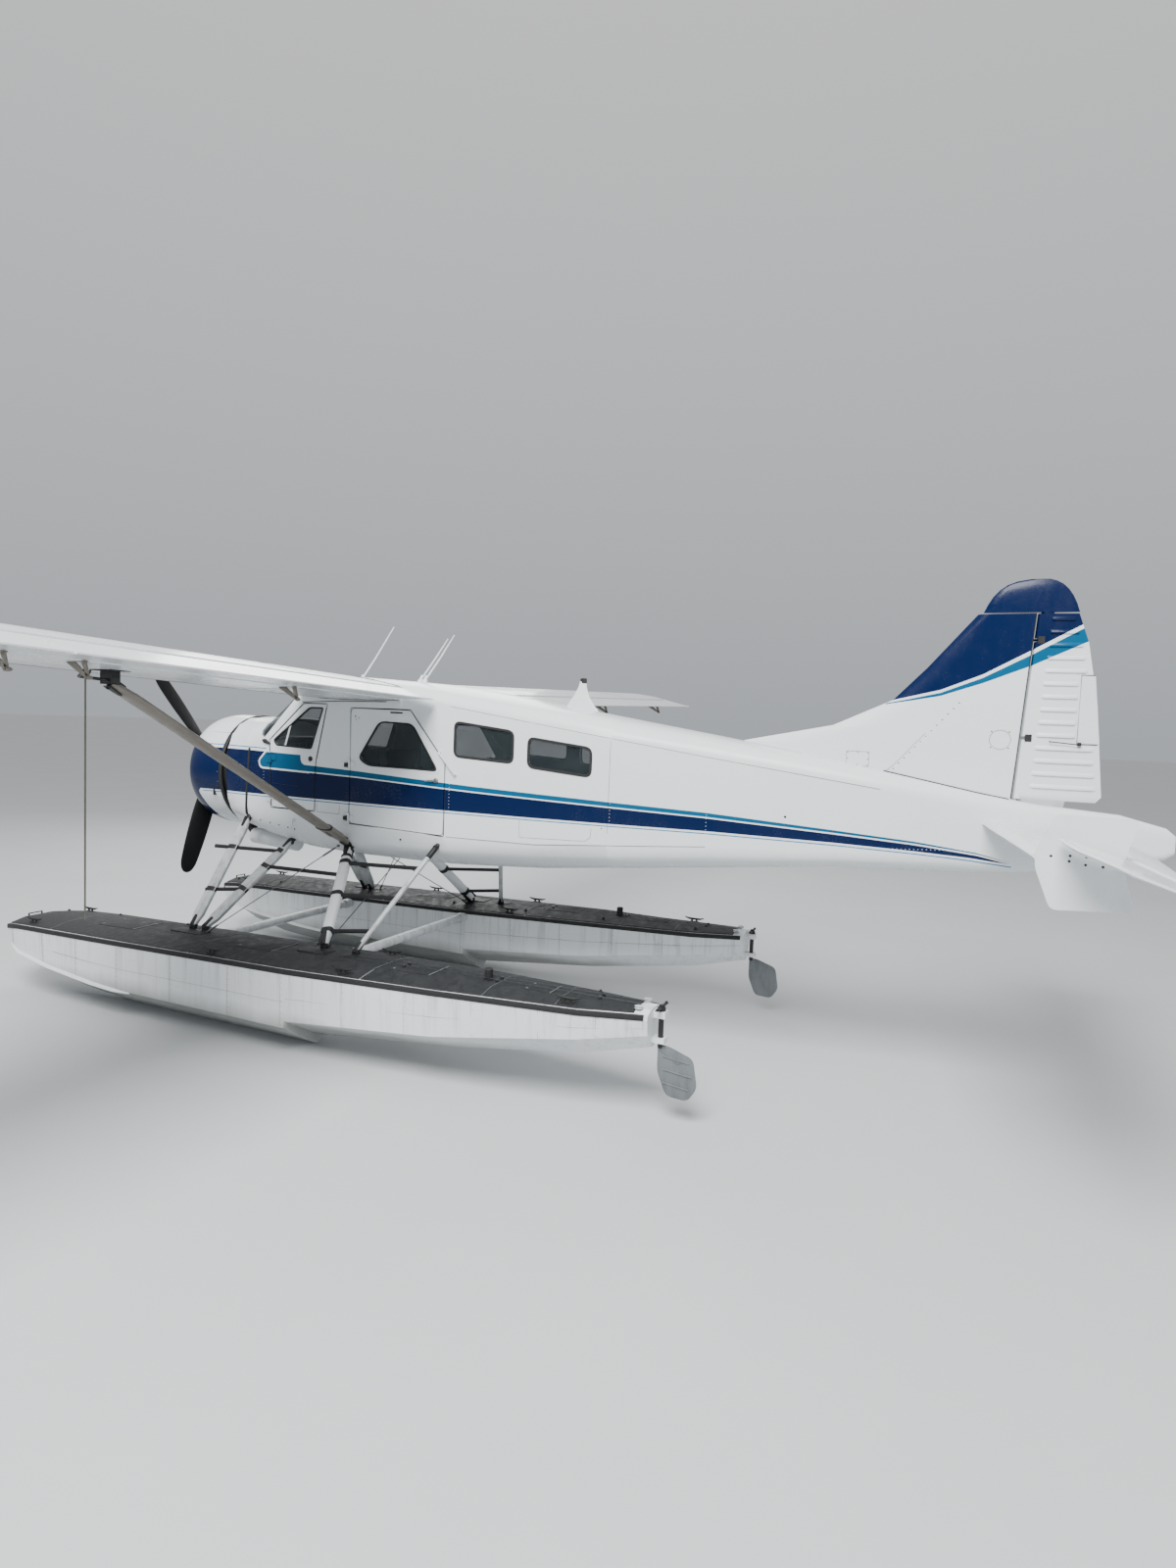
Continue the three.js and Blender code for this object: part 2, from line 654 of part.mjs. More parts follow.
// Wing strut from the body's main fitting to the wing's spar
const strutFoot = [505, 2352, 1640];
const strutHead = [3360, 2570, 3093];
const lugGrown = block(strutLug[0] - seat, strutLug[1] + seat, strutLug[2] - 60, strutLug[3] + 60,
  strutLug[4] - seat, strutLug[5]);
const strutChord = 175;
const strutThickness = 58;
addPair('wing_strut', strut(strutFoot, strutHead, strutChord, strutThickness, 14)
  .subtract(lugGrown), greyPaint, bodyGrown);

// Nose: engine, its round cowl, the panel behind it and the propeller
const cowlEnd = 690;
const coolingGap = { top: 12, side: 66, height: 2215, reach: 670 };

// Station and radius, of the outer surface from the lip back and of the inner surface
const cowlOuter = [[152, 462], [142, 490], [152, 520], [205, 562], [300, 594], [430, 608], [cowlEnd, 604]];
const cowlInner = [[205, 552], [300, 584], [430, 598], [cowlEnd, 596]];

// A body turned about the propeller's shaft line, from [station, radius] points
function turned(profile, height, segments = 32) {
  const points = profile.map(([station, radius]) => new THREE.Vector2(radius, station));
  return solid(new THREE.LatheGeometry(points, segments).translate(0, 0, height));
}

add('cowl', turned([...cowlOuter, ...cowlInner.toReversed(), [168, 500], cowlOuter[0]], cowlHeight), navy);

// The panel between cowl and firewall, from round in front to the body's own shape behind
function rearCowl(inset) {
  const round = [cowlEnd + coolingGap.top, 594, 2290, 2883, 2280, 1687];
  const middle = [880, 601, 2420, 2886, 2110, 1672];
  const square = [firewall - seat, ...bodySections[0].slice(1)];
  return [round, middle, square].map((section) => bodyRing(section, inset));
}
const coolingSlot = bar([-wide, cowlEnd + coolingGap.top, coolingGap.height],
  [wide, cowlEnd + coolingGap.top, coolingGap.height], 2 * coolingGap.side, 2 * coolingGap.reach, 40);
const sheet = 10;
const rearCowlInside = loft(rearCowl(sheet).map((ring, i) => ring.map(
  ([x, y, z]) => [x, y + [-1, 0, 1][i], z])));
add('rear_cowl', loft(rearCowl(0)).subtract(rearCowlInside).subtract(coolingSlot), navy);

// Engine: nine cylinders on a crankcase, a nose case in front and a drum back to the firewall
const cylinderCount = 9;
const cylinderStation = 450;
const crankcase = [
  [60, 0], [60, 60], [110, 74], [140, 150], [230, 215], [300, 262],
  [610, 262], [650, 200], [firewall - seat, 190], [firewall - seat, 0],
];

function engine() {
  let body = turned(crankcase, thrustHeight, 16);
  for (let i = 0; i < cylinderCount; i += 1) {
    const turn = Math.PI / 2 + (i / cylinderCount) * 2 * Math.PI;
    const [c, s] = [Math.cos(turn), Math.sin(turn)];
    body = body.add(bar([230 * c, cylinderStation, thrustHeight + 230 * s],
      [700 * c, cylinderStation, thrustHeight + 700 * s], 165, 165, 10));
  }
  const cowlInside = turned([[cowlInner[0][0], 0], ...cowlInner.map(([y, r]) => [y, r - seat]), [cowlEnd, 0]],
    cowlHeight);
  return body.intersect(cowlInside.add(turned([[0, 0], [0, 300], [1200, 300], [1200, 0]], thrustHeight)));
}
add('engine', engine(), bareMetal);

// Propeller: three twisted blades in a hub
const bladeAngles = [-70.6, 49.4, 169.4];
const bladeSections = [
  // radius, chord, thickness, pitch in degrees
  [70, 96, 90, 40],
  [240, 120, 74, 36],
  [480, 205, 34, 30],
  [820, 216, 22, 22],
  [1120, 190, 15, 17],
  [1240, 150, 11, 15],
  [propellerRadius, 60, 7, 14],
];

function blade(angle) {
  const sides = 10;
  const rings = bladeSections.map(([radius, width, thick, pitch]) => Array.from({ length: sides }, (_, i) => {
    const turn = (i / sides) * 2 * Math.PI;
    const point = new THREE.Vector3(Math.cos(turn) * width / 2, Math.sin(turn) * thick / 2, radius);
    return point.applyAxisAngle(new THREE.Vector3(0, 0, 1), THREE.MathUtils.degToRad(pitch)).toArray();
  }));
  const spin = new THREE.Matrix4().makeRotationY(THREE.MathUtils.degToRad(90 - angle));
  return moved(loft(rings), spin.premultiply(new THREE.Matrix4().makeTranslation(0, 0, thrustHeight)));
}

function propeller() {
  const hub = turned([
    [-150, 0], [-140, 45], [-110, 78], [-30, 82], [-26, 118], [40, 118], [60 - seat, 70], [60 - seat, 0],
  ], thrustHeight, 16);
  return bladeAngles.reduce((body, angle) => body.add(blade(angle)), hub);
}
add('propeller', propeller(), black);

// Exhaust fairing under the body, on the left of the middle
const scoopX = 290;
const scoop = bar([scoopX, 880, 1597], [scoopX, 1480, 1562], 170, 176, 16);
add('exhaust_fairing', scoop.subtract(bar([scoopX, 870, 1598], [scoopX, 1340, 1571], 142, 146, 16))
  .subtract(bodyGrown), white);

// Floats: keel strip, chine, side and deck, with a step in the bottom
const floatSections = [
  // station, half deck, half chine, crest, deck edge, chine, keel
  [-1180, 70, 60, 575, 560, 520, 480],
  [-1130, 205, 190, 642, 612, 500, 385],
  [-1000, 330, 310, 694, 655, 465, 275],
  [-740, 400, 380, 728, 688, 420, 165],
  [-250, 425, 415, 750, 704, 350, 55],
  [400, 432, 430, 765, 716, 285, 4],
  [700, 434, 432, 772, 722, 268, 0],
  [stepStation, 434, 432, 805, 762, 262, 0],
  [stepStation + 2, 434, 425, 805, 762, 318, 92],
  [4200, 385, 370, 838, 800, 430, 235],
  [5400, 265, 245, 850, 815, 590, 420],
  [5930, 160, 140, 860, 832, 680, 560],
];
const keelHalf = 22;
const crestPart = 0.45;
const gunwale = 34;

function floatHull() {
  return loft(floatSections.map(([station, deckHalf, chineHalf, crest, edge, chine, keel]) => {
    const half = [
      [keelHalf, keel], [chineHalf, chine], [deckHalf, edge - gunwale], [deckHalf - 8, edge],
      [deckHalf * crestPart, crest],
    ];
    const ring = [...half, ...half.toReversed().map(([x, z]) => [-x, z])];
    return ring.map(([x, z]) => [floatTrack + x, station, z]);
  }));
}

const postAxis = { station: 5985, low: 560, high: 880, radius: 22 };
const lugTop = 840;

const uprightPin = (z0, z1, radius) => bar([floatTrack, postAxis.station, z0],
  [floatTrack, postAxis.station, z1], 2 * radius, 2 * radius, pinSides);

function floatWithPost() {
  const lugs = [[600, 640], [790, lugTop]].map(([z0, z1]) => (
    block(floatTrack - 40, floatTrack + 40, 5850, postAxis.station + 40, z0, z1)));
  const bore = uprightPin(300, 1000, postAxis.radius + pinGap);
  return lugs.reduce((body, lug) => body.add(lug), floatHull()).subtract(bore);
}
addPair('float', floatWithPost(), white);

// Water rudders on upright posts at the floats' sterns
function waterRudder() {
  const post = uprightPin(postAxis.low, postAxis.high, postAxis.radius);
  const collar = uprightPin(lugTop + 0.4, lugTop + 16, postAxis.radius + 9);
  const blade = sideOutline([
    [postAxis.station - 20, 585], [postAxis.station + 60, 585], [postAxis.station + 260, 520],
    [postAxis.station + 300, 300], [postAxis.station + 230, 190], [postAxis.station + 60, 200],
    [postAxis.station - 20, 380],
  ], floatTrack - 6, floatTrack + 6, 30);
  return post.add(collar).add(blade);
}
addPair('water_rudder', waterRudder(), greyPaint);

// Struts between body and floats, as ladders with their rungs
const floatGrown = shifted(floatHull(), 0, 0, seat);
const deckFront = [1410, 1110, 700];
const deckSecond = [1410, 1185, 700];
const deckRear = [1400, 2744, 720];
const deckBrace = [1400, 3015, 720];
const fittings = {
  front: [585, 1080, 1850],
  second: [435, 1570, 1655],
  rear: [520, 2345, 1650],
  brace: [565, 3441, 1790],
};
const rungSize = 34;

function between(a, b, part) {
  return a.map((value, i) => value + (b[i] - value) * part);
}

// Rungs run between parts of the length of both struts, and past the front strut by a length
function strutPair(topA, topB, footA, footB, sizesA, sizesB, rungs) {
  let body = strut(topA, footA, ...sizesA).add(strut(topB, footB, ...sizesB));
  for (const [partA, partB, past] of rungs) {
    const start = new THREE.Vector3(...between(topA, footA, partA));
    const end = new THREE.Vector3(...between(topB, footB, partB));
    start.addScaledVector(start.clone().sub(end).normalize(), past);
    body = body.add(bar(start.toArray(), end.toArray(), rungSize, rungSize, 8));
  }
  return body.subtract(floatGrown);
}
const wingStrutGrown = strut(between(strutFoot, strutHead, -0.01), strutHead,
  strutChord + 6, strutThickness + 6, 14);
const frontSize = [120, 46];
const rearSize = [110, 90];
const braceSize = [48, 44];
const rearGrown = strut(fittings.rear, deckRear, rearSize[0] + 2 * seat, rearSize[1] + 2 * seat);
const middleRung = bar(between(fittings.second, deckSecond, 0.3), between(fittings.rear, deckRear, 0.28),
  rungSize, rungSize, 8);
addPair('front_float_struts', strutPair(
  fittings.front, fittings.second, deckFront, deckSecond, frontSize, frontSize,
  [[0.27, 0.15, 180], [0.61, 0.52, 60]],
).add(middleRung).subtract(rearGrown), greyPaint, bodyGrown);
addPair('rear_float_struts', strutPair(
  fittings.rear, fittings.brace, deckRear, deckBrace, rearSize, braceSize,
  [[0.17, 0.23, 70], [0.45, 0.47, 70], [0.755, 0.73, 70]],
).subtract(wingStrutGrown), white, bodyGrown);

// Spreader bars between the floats
const floatSideGrown = [seat, -seat].reduce((body, x) => (
  body.add(shifted(floatHull(), x, 0, 0))), floatHull());
for (const [name, station, height] of [['front', 1134, 664], ['rear', 2744, 690]]) {
  const bridge = bar([-1300, station, height], [1300, station, height], 110, 90, 14);
  add(`spreader_${name}`, bridge.subtract(floatSideGrown).subtract(mirrored(floatSideGrown)), greyPaint);
}

// Main stays: one along each side, and two that cross behind
const stayRadius = 5;
addPair('side_stay', bar([540, 2250, 1650], [1400, 1262, 740], 2 * stayRadius, 2 * stayRadius, 8)
  .subtract(floatGrown), black, bodyGrown);
const crossStay = bar([-480, 2500, 1680], [1300, 2640, 760], 2 * stayRadius, 2 * stayRadius, 8);
add('cross_stay_left', crossStay.subtract(floatGrown).subtract(bodyGrown), black);
add('cross_stay_right', shifted(mirrored(crossStay), 0, 30, 0)
  .subtract(mirrored(floatGrown)).subtract(bodyGrown), black);

// Cabin fittings
function pilotSeat() {
  const cushion = block(80, 520, 1990, 2390, cabinFloor + 240, cabinFloor + 330);
  const back = sideOutline([[2380, cabinFloor + 240], [2470, cabinFloor + 780], [2400, cabinFloor + 780],
    [2310, cabinFloor + 330], [2310, cabinFloor + 240]], 80, 520, 20);
  const legs = block(140, 460, 2060, 2340, cabinFloor + seat, cabinFloor + 250);
  return cushion.add(back).add(legs);
}
addPair('pilot_seat', pilotSeat(), trim);

const bench = block(-540, 540, 3300, 3720, cabinFloor + 200, cabinFloor + 320)
  .add(block(-540, 540, 3680, 3780, cabinFloor + 200, cabinFloor + 760))
  .add(block(-480, 480, 3360, 3700, cabinFloor + seat, cabinFloor + 210));
add('bench_seat', bench, trim);

const panelBoard = block(-565, 565, 1500, 1525, 2300, 2700);
const pedestal = block(-120, 120, 1400, 1525, cabinFloor + seat, 2310);
add('instrument_panel', panelBoard.add(pedestal), trim);

// Rope that hangs from the left wing's ring
const ropeEnd = 1490;
const ropeRadius = 6;
const ropeSteps = 54;

function rope() {
  const path = new THREE.LineCurve3(
    new THREE.Vector3(ropePoint.x, ropePoint.station, ropeEyeFoot - seat),
    new THREE.Vector3(ropePoint.x, ropePoint.station, ropeEnd),
  );
  const section = new THREE.Shape();
  section.absarc(0, 0, ropeRadius, 0, 2 * Math.PI);
  return solid(new THREE.ExtrudeGeometry(section, { steps: ropeSteps, curveSegments: 4, extrudePath: path }));
}
add('wing_rope', rope(), ropeLook);

export default aircraft;
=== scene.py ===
import json
import math

import bmesh
import bpy
from mathutils import Matrix, Vector

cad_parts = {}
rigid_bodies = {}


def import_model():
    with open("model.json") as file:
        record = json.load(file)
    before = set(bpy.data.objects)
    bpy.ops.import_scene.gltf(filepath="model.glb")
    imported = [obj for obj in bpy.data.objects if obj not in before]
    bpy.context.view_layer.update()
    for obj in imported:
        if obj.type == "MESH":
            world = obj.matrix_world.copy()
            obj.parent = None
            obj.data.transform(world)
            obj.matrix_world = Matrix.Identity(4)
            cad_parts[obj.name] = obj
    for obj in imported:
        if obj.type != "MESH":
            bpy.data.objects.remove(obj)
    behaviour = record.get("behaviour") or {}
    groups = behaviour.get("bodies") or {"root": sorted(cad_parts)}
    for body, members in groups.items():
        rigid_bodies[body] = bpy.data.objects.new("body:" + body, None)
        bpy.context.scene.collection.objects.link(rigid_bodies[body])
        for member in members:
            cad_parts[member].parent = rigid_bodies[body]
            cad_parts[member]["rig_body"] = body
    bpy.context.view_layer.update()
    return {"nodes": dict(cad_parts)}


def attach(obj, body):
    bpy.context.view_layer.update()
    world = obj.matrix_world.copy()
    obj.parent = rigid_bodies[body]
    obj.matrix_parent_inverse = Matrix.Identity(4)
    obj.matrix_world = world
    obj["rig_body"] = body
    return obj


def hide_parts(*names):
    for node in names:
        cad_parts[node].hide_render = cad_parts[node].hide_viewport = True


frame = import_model()

MM = 0.001
MIDDLE = 4.091  # the origin's station; stations are counted aft from the propeller's plane
LEFT, AFT, UP = Vector((1, 0, 0)), Vector((0, 1, 0)), Vector((0, 0, 1))


def at(x, station, z):
    """A point from metres left of the middle, its station and its height."""
    return Vector((x, station - MIDDLE, z))


# Camera: left of the body and beyond the wing's tip, looking right, forward and a little down
CAMERA_PLACE, LENS_MM = (7.565, 3.923, 2.941), 20.24
YAW, PITCH, ROLL = (math.radians(a) for a in (-23.770, -3.861, 2.295))
ahead = Vector((-math.cos(YAW), math.sin(YAW), 0))
right = Vector((math.sin(YAW), math.cos(YAW), 0))
view = ahead * math.cos(PITCH) + UP * math.sin(PITCH)
lift = UP * math.cos(PITCH) - ahead * math.sin(PITCH)
picture_right = right * math.cos(ROLL) + lift * math.sin(ROLL)
picture_up = lift * math.cos(ROLL) - right * math.sin(ROLL)
bpy.ops.object.camera_add(location=CAMERA_PLACE)
camera = bpy.context.object
camera.matrix_world = Matrix.LocRotScale(
    camera.location, Matrix((picture_right, picture_up, -view)).transposed(), None)
camera.data.sensor_fit = "VERTICAL"
camera.data.sensor_height = 36
camera.data.lens = LENS_MM
camera.data.clip_end = 500
bpy.context.scene.camera = camera


# Modelling: each of these works on one new piece, in object mode before and after
def deselect():
    if bpy.context.object and bpy.context.object.mode != "OBJECT":
        bpy.ops.object.mode_set(mode="OBJECT")
    bpy.ops.object.select_all(action="DESELECT")


def pick(*pieces):
    """Selects only these pieces, with the last one active."""
    deselect()
    for piece in pieces:
        piece.select_set(True)
    bpy.context.view_layer.objects.active = pieces[-1]
    return pieces[-1]


def settle(piece):
    """Puts a piece's place into its mesh, so its object sits at the origin."""
    pick(piece)
    bpy.ops.object.transform_apply(location=True, rotation=True, scale=True)
    return piece


def edit(piece, mode="FACE"):
    """Opens a piece in edit mode with nothing selected, and gives its mesh."""
    pick(piece)
    bpy.ops.object.mode_set(mode="EDIT")
    bpy.ops.mesh.select_mode(type=mode)
    bpy.ops.mesh.select_all(action="DESELECT")
    return bmesh.from_edit_mesh(piece.data)


def outward(piece):
    """Merges a piece's doubles and turns its faces outwards."""
    edit(piece)
    bpy.ops.mesh.select_all(action="SELECT")
    bpy.ops.mesh.remove_doubles(threshold=0.00005)
    bpy.ops.mesh.normals_make_consistent(inside=False)
    bpy.ops.object.mode_set(mode="OBJECT")
    return piece


def modify(piece, kind, **settings):
    """Adds a modifier with its settings and applies it."""
    pick(piece)
    modifier = piece.modifiers.new(kind.title(), kind)
    for key, value in settings.items():
        setattr(modifier, key, value)
    bpy.ops.object.modifier_apply(modifier=modifier.name)
    return piece


def soften(piece, width, segments=2, angle=35):
    """Rounds a piece's sharp edges."""
    return modify(piece, "BEVEL", width=width, segments=segments,
                  limit_method="ANGLE", angle_limit=math.radians(angle))


def start_ring(points, fill, mode):
    """Opens a new piece in edit mode with one ring, whose points carry their numbers."""
    deselect()
    bpy.ops.mesh.primitive_circle_add(vertices=len(points), fill_type=fill)
    piece = bpy.context.object
    mesh = edit(piece, mode)
    order = mesh.verts.layers.int.new("order")
    for i, vertex in enumerate(mesh.verts):
        vertex[order] = i
        vertex.co = points[i]
    bpy.ops.mesh.select_all(action="SELECT")
    return piece


def extend_ring(piece, points):
    """Extrudes the ring that is selected and moves the new one to its points."""
    bpy.ops.mesh.extrude_region_move()
    mesh = bmesh.from_edit_mesh(piece.data)
    order = mesh.verts.layers.int["order"]
    for vertex in mesh.verts:
        if vertex.select:
            vertex.co = points[vertex[order]]


def end_rings(piece):
    bpy.ops.object.mode_set(mode="OBJECT")
    piece.data.attributes.remove(piece.data.attributes["order"])
    return outward(piece)


def loft(rings):
    """Draws a face out through rings of equally many points, which closes it at both ends."""
    piece = start_ring(rings[0], "NGON", "FACE")
    for ring in rings[1:]:
        extend_ring(piece, ring)
    return end_rings(piece)


def angles(count):
    """Angles that share a full turn evenly."""
    return [2 * math.pi * i / count for i in range(count)]


def ring_at(centre, along, wide, half_wide, half_thin, sides):
    """An ellipse of points round a centre, square to the way along."""
    along = along.normalized()
    wide = (wide - along * wide.dot(along)).normalized()
    thin = along.cross(wide)
    return [centre + wide * (half_wide * math.cos(t)) + thin * (half_thin * math.sin(t))
            for t in angles(sides)]


def tube(points, radius, sides=12, radii=None):
    """A round bar along points, mitred at its corners; radii gives each point its own."""
    points = [Vector(p) for p in points]
    rings = []
    wide = UP if abs((points[1] - points[0]).normalized().z) < 0.9 else AFT
    for i, p in enumerate(points):
        before = (p - points[i - 1]).normalized() if i else None
        after = (points[i + 1] - p).normalized() if i < len(points) - 1 else None
        along = (before or after) + (after or before)
        r = radii[i] if radii else radius
        rings.append(ring_at(p, along, wide, r, r, sides))
    return loft(rings)


def bar(a, b, wide, thin, sides=16, flight=AFT, ends=None):
    """An elliptical bar; ends gives [part, share of the width] along it."""
    a, b = Vector(a), Vector(b)
    ends = ends or [(0, 1), (1, 1)]
    return loft([ring_at(a.lerp(b, part), b - a, Vector(flight), wide / 2 * share, thin / 2, sides)
                 for part, share in ends])


def block(low, high, bevel=0.0, segments=2):
    """A box between two corners, with its edges rounded by a bevel."""
    deselect()
    low, high = Vector(low), Vector(high)
    bpy.ops.mesh.primitive_cube_add(size=1, location=(low + high) / 2)
    piece = bpy.context.object
    piece.scale = high - low
    settle(piece)
    if bevel:
        soften(piece, bevel, segments)
    return piece


def lathe(profile, centre, axis, steps=32):
    """Spins a closed outline of [along, radius] points about an axis through centre."""
    deselect()
    centre, axis = Vector(centre), Vector(axis).normalized()
    out = axis.orthogonal().normalized()
    points = [centre + axis * a + out * r for a, r in profile]
    bpy.ops.mesh.primitive_circle_add(vertices=len(points))
    piece = bpy.context.object
    mesh = edit(piece, "EDGE")
    for vertex, point in zip(mesh.verts, points):
        vertex.co = point
    bpy.ops.mesh.select_all(action="SELECT")
    bpy.ops.mesh.spin(steps=steps, angle=2 * math.pi, center=centre, axis=axis)
    bpy.ops.object.mode_set(mode="OBJECT")
    return outward(piece)


def plate(outline, thickness, bevel=0.0):
    """A flat plate from a loop of points, thickened by a vector."""
    outline = [Vector(p) for p in outline]
    shift = Vector(thickness)
    piece = loft([outline, [p + shift for p in outline]])
    if bevel:
        soften(piece, bevel)
    return piece


def rounded(corners, radius, steps=5):
    """A loop of corners with each one rounded."""
    corners = [Vector(c) for c in corners]
    loop = []
    for i, corner in enumerate(corners):
        back = corners[i - 1] - corner
        onward = corners[(i + 1) % len(corners)] - corner
        reach = min(radius, back.length * 0.45, onward.length * 0.45)
        start, end = corner + back.normalized() * reach, corner + onward.normalized() * reach
        for k in range(steps + 1):
            t = k / steps
            loop.append(start.lerp(corner, t).lerp(corner.lerp(end, t), t))
    return loop


def copy(piece, matrix):
    """A copy with its own mesh, moved by a matrix; a mirrored one is turned right side out."""
    pick(piece)
    bpy.ops.object.duplicate()
    twin = bpy.context.object
    twin.matrix_world = matrix @ twin.matrix_world
    settle(twin)
    return outward(twin) if matrix.determinant() < 0 else twin


MIRROR = Matrix.Diagonal((-1, 1, 1, 1))


def about(place, matrix):
    """A turn or mirroring about a place instead of the origin."""
    return Matrix.Translation(place) @ matrix @ Matrix.Translation(-place)


def both(piece):
    """The piece and its mirror image on the right side, as one mesh."""
    return join(piece, copy(piece, MIRROR))


def join(*pieces):
    if len(pieces) == 1:
        return pieces[0]
    pick(*pieces[::-1])
    bpy.ops.object.join()
    return bpy.context.object


def row(piece, count, step):
    """Repeats a piece in a straight row."""
    return modify(piece, "ARRAY", count=count, use_relative_offset=False,
                  use_constant_offset=True, constant_offset_displace=step)


def finish(piece, name, paint, body="airframe", angle=32, nodes=()):
    """Names, paints and shades a piece, gives it its body, and hides the CAD nodes it replaces."""
    piece.name = piece.data.name = name
    piece.data.materials.clear()
    piece.data.materials.append(paint)
    pick(piece)
    bpy.ops.object.shade_smooth_by_angle(angle=math.radians(angle))
    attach(piece, body)
    if nodes:
        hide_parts(*nodes)
    deselect()
    return piece


def finish_sides(piece, name, paint, body):
    """Finishes a left piece and its mirror image apart, each riding the body of its own side."""
    twin = copy(piece, MIRROR)
    for half, word in ((twin, "right"), (piece, "left")):
        finish(half, f"{name}_{word}", paint, f"{body}_{word}")


def repaint(piece, paint, chosen):
    """Gives one more finish to the faces that chosen(middle, normal) picks."""
    piece.data.materials.append(paint)
    for face in piece.data.polygons:
        if chosen(face.center, face.normal):
            face.material_index = len(piece.data.materials) - 1


# Materials
def colour(code):
    """A colour from its sRGB hex code, as linear light."""
    parts = [int(code[i:i + 2], 16) / 255 for i in (0, 2, 4)]
    return [p / 12.92 if p <= 0.04045 else ((p + 0.055) / 1.055) ** 2.4 for p in parts] + [1]


def add(tree, kind, inputs=None, **settings):
    """Adds a node with its settings, and a value or a link on each input it names."""
    node = tree.nodes.new("ShaderNode" + kind)
    for key, value in settings.items():
        setattr(node, key, value)
    for key, value in (inputs or {}).items():
        if isinstance(value, bpy.types.NodeSocket):
            tree.links.new(value, node.inputs[key])
        else:
            node.inputs[key].default_value = value
    return node


def material(name, **shader):
    """A new material with values on its shader's own sockets; a _ in a name stands for a space."""
    made = bpy.data.materials.new(name)
    made.use_nodes = True
    tree = made.node_tree
    surface = tree.nodes["Principled BSDF"]
    for key, value in shader.items():
        surface.inputs[key.replace("_", " ")].default_value = value
    return made, tree, surface


def places(tree):
    """Object coordinates as one vector, and then X, Y and Z apart."""
    where = add(tree, "TexCoord").outputs["Object"]
    parts = add(tree, "SeparateXYZ", {0: where})
    return where, parts.outputs["X"], parts.outputs["Y"], parts.outputs["Z"]


def maths(tree, operation, a, b=0.0):
    return add(tree, "Math", {0: a, 1: b}, operation=operation).outputs[0]


def mix(tree, share, a, b):
    """Colour a with a share of colour b laid over it."""
    return add(tree, "Mix", {0: share, 6: a, 7: b}, data_type="RGBA").outputs[2]


def grain(tree, where, per_metre, stretch=(1, 1, 1), detail=3.0, rough=0.5):
    """Noise with a number of grains to the metre, drawn out along an axis by a smaller stretch."""
    spread = add(tree, "Mapping", {"Vector": where, "Scale": stretch}).outputs[0]
    return add(tree, "TexNoise", {"Vector": spread, "Scale": per_metre, "Detail": detail,
                                  "Roughness": rough}).outputs["Fac"]


def span(tree, value, low, high, to_low, to_high):
    """A value between low and high brought to between to_low and to_high."""
    return add(tree, "MapRange", {0: value, 1: low, 2: high, 3: to_low, 4: to_high}).outputs[0]


def curve(tree, value, points):
    """A broken line through points from 0 to 1 both ways."""
    node = add(tree, "FloatCurve", {"Value": value})
    line = node.mapping.curves[0]
    while len(line.points) < len(points):
        line.points.new(0.5, 0.5)
    for point, (x, y) in zip(line.points, points):
        point.location = (x, y)
        point.handle_type = "VECTOR"
    node.mapping.update()
    return node.outputs[0]


WHITE, NAVY, TEAL, THIN_TEAL = "DEE2E4", "01163E", "0B5478", "3C7FA6"

# Stripe edges along the body, as [station, height] in metres
NAVY_LOW = [(0, 2.092), (2.5, 2.089), (5.95, 2.083), (7.0, 2.067), (7.6, 2.048), (8.0, 2.028), (8.3, 2.0)]
NAVY_HIGH = [(0, 2.545), (1.1, 2.537), (1.8, 2.521), (10, 2.521)]
TEAL_LOW = [(0, 2.38), (1.3, 2.374), (2.489, 2.343), (3.781, 2.284), (5.946, 2.204), (6.983, 2.147),
            (7.6, 2.108), (8.05, 2.062), (8.3, 2.01)]
TEAL_HIGH = [(0, 2.43), (1.83, 2.423), (2.489, 2.397), (3.781, 2.329), (5.946, 2.239), (6.983, 2.169),
             (7.6, 2.124), (8.05, 2.071), (8.3, 2.01)]
# The teal patch under the windscreen, from station 1.2 to 1.9, and the white line round it
PATCH_HIGH = [(1.2, 2.43), (1.245, 2.431), (1.25, 2.444), (1.322, 2.52), (1.343, 2.53), (1.783, 2.519),
              (1.787, 2.47), (1.8, 2.44), (1.83, 2.423), (1.9, 2.42)]
PATCH_LOW = [(1.2, 2.43), (1.245, 2.429), (1.25, 2.402), (1.268, 2.38), (1.29, 2.373), (1.9, 2.358)]
EDGE_HIGH = [(1.2, 2.43), (1.226, 2.431), (1.234, 2.454), (1.313, 2.539), (1.335, 2.6), (1.9, 2.6)]
EDGE_LOW = [(1.2, 2.43), (1.226, 2.429), (1.232, 2.393), (1.256, 2.363), (1.288, 2.355), (1.9, 2.34)]
# Lower edges of the fin's navy, of the white line under it and of the teal stripe
FIN_NAVY = [(7.3, 3.226), (7.36, 3.238), (7.5, 3.272), (7.71, 3.324), (8.01, 3.451), (8.34, 3.64),
            (8.66, 3.829),
            (8.9, 3.965)]
FIN_WHITE = [(7.3, 3.21), (7.36, 3.222), (7.5, 3.252), (7.71, 3.301), (8.01, 3.424), (8.34, 3.605),
             (8.66, 3.794),
             (8.9, 3.93)]
FIN_TEAL = [(7.3, 3.2), (7.36, 3.212), (7.5, 3.236), (7.71, 3.276), (8.01, 3.382), (8.34, 3.52), (8.66, 3.68),
            (8.9, 3.8)]
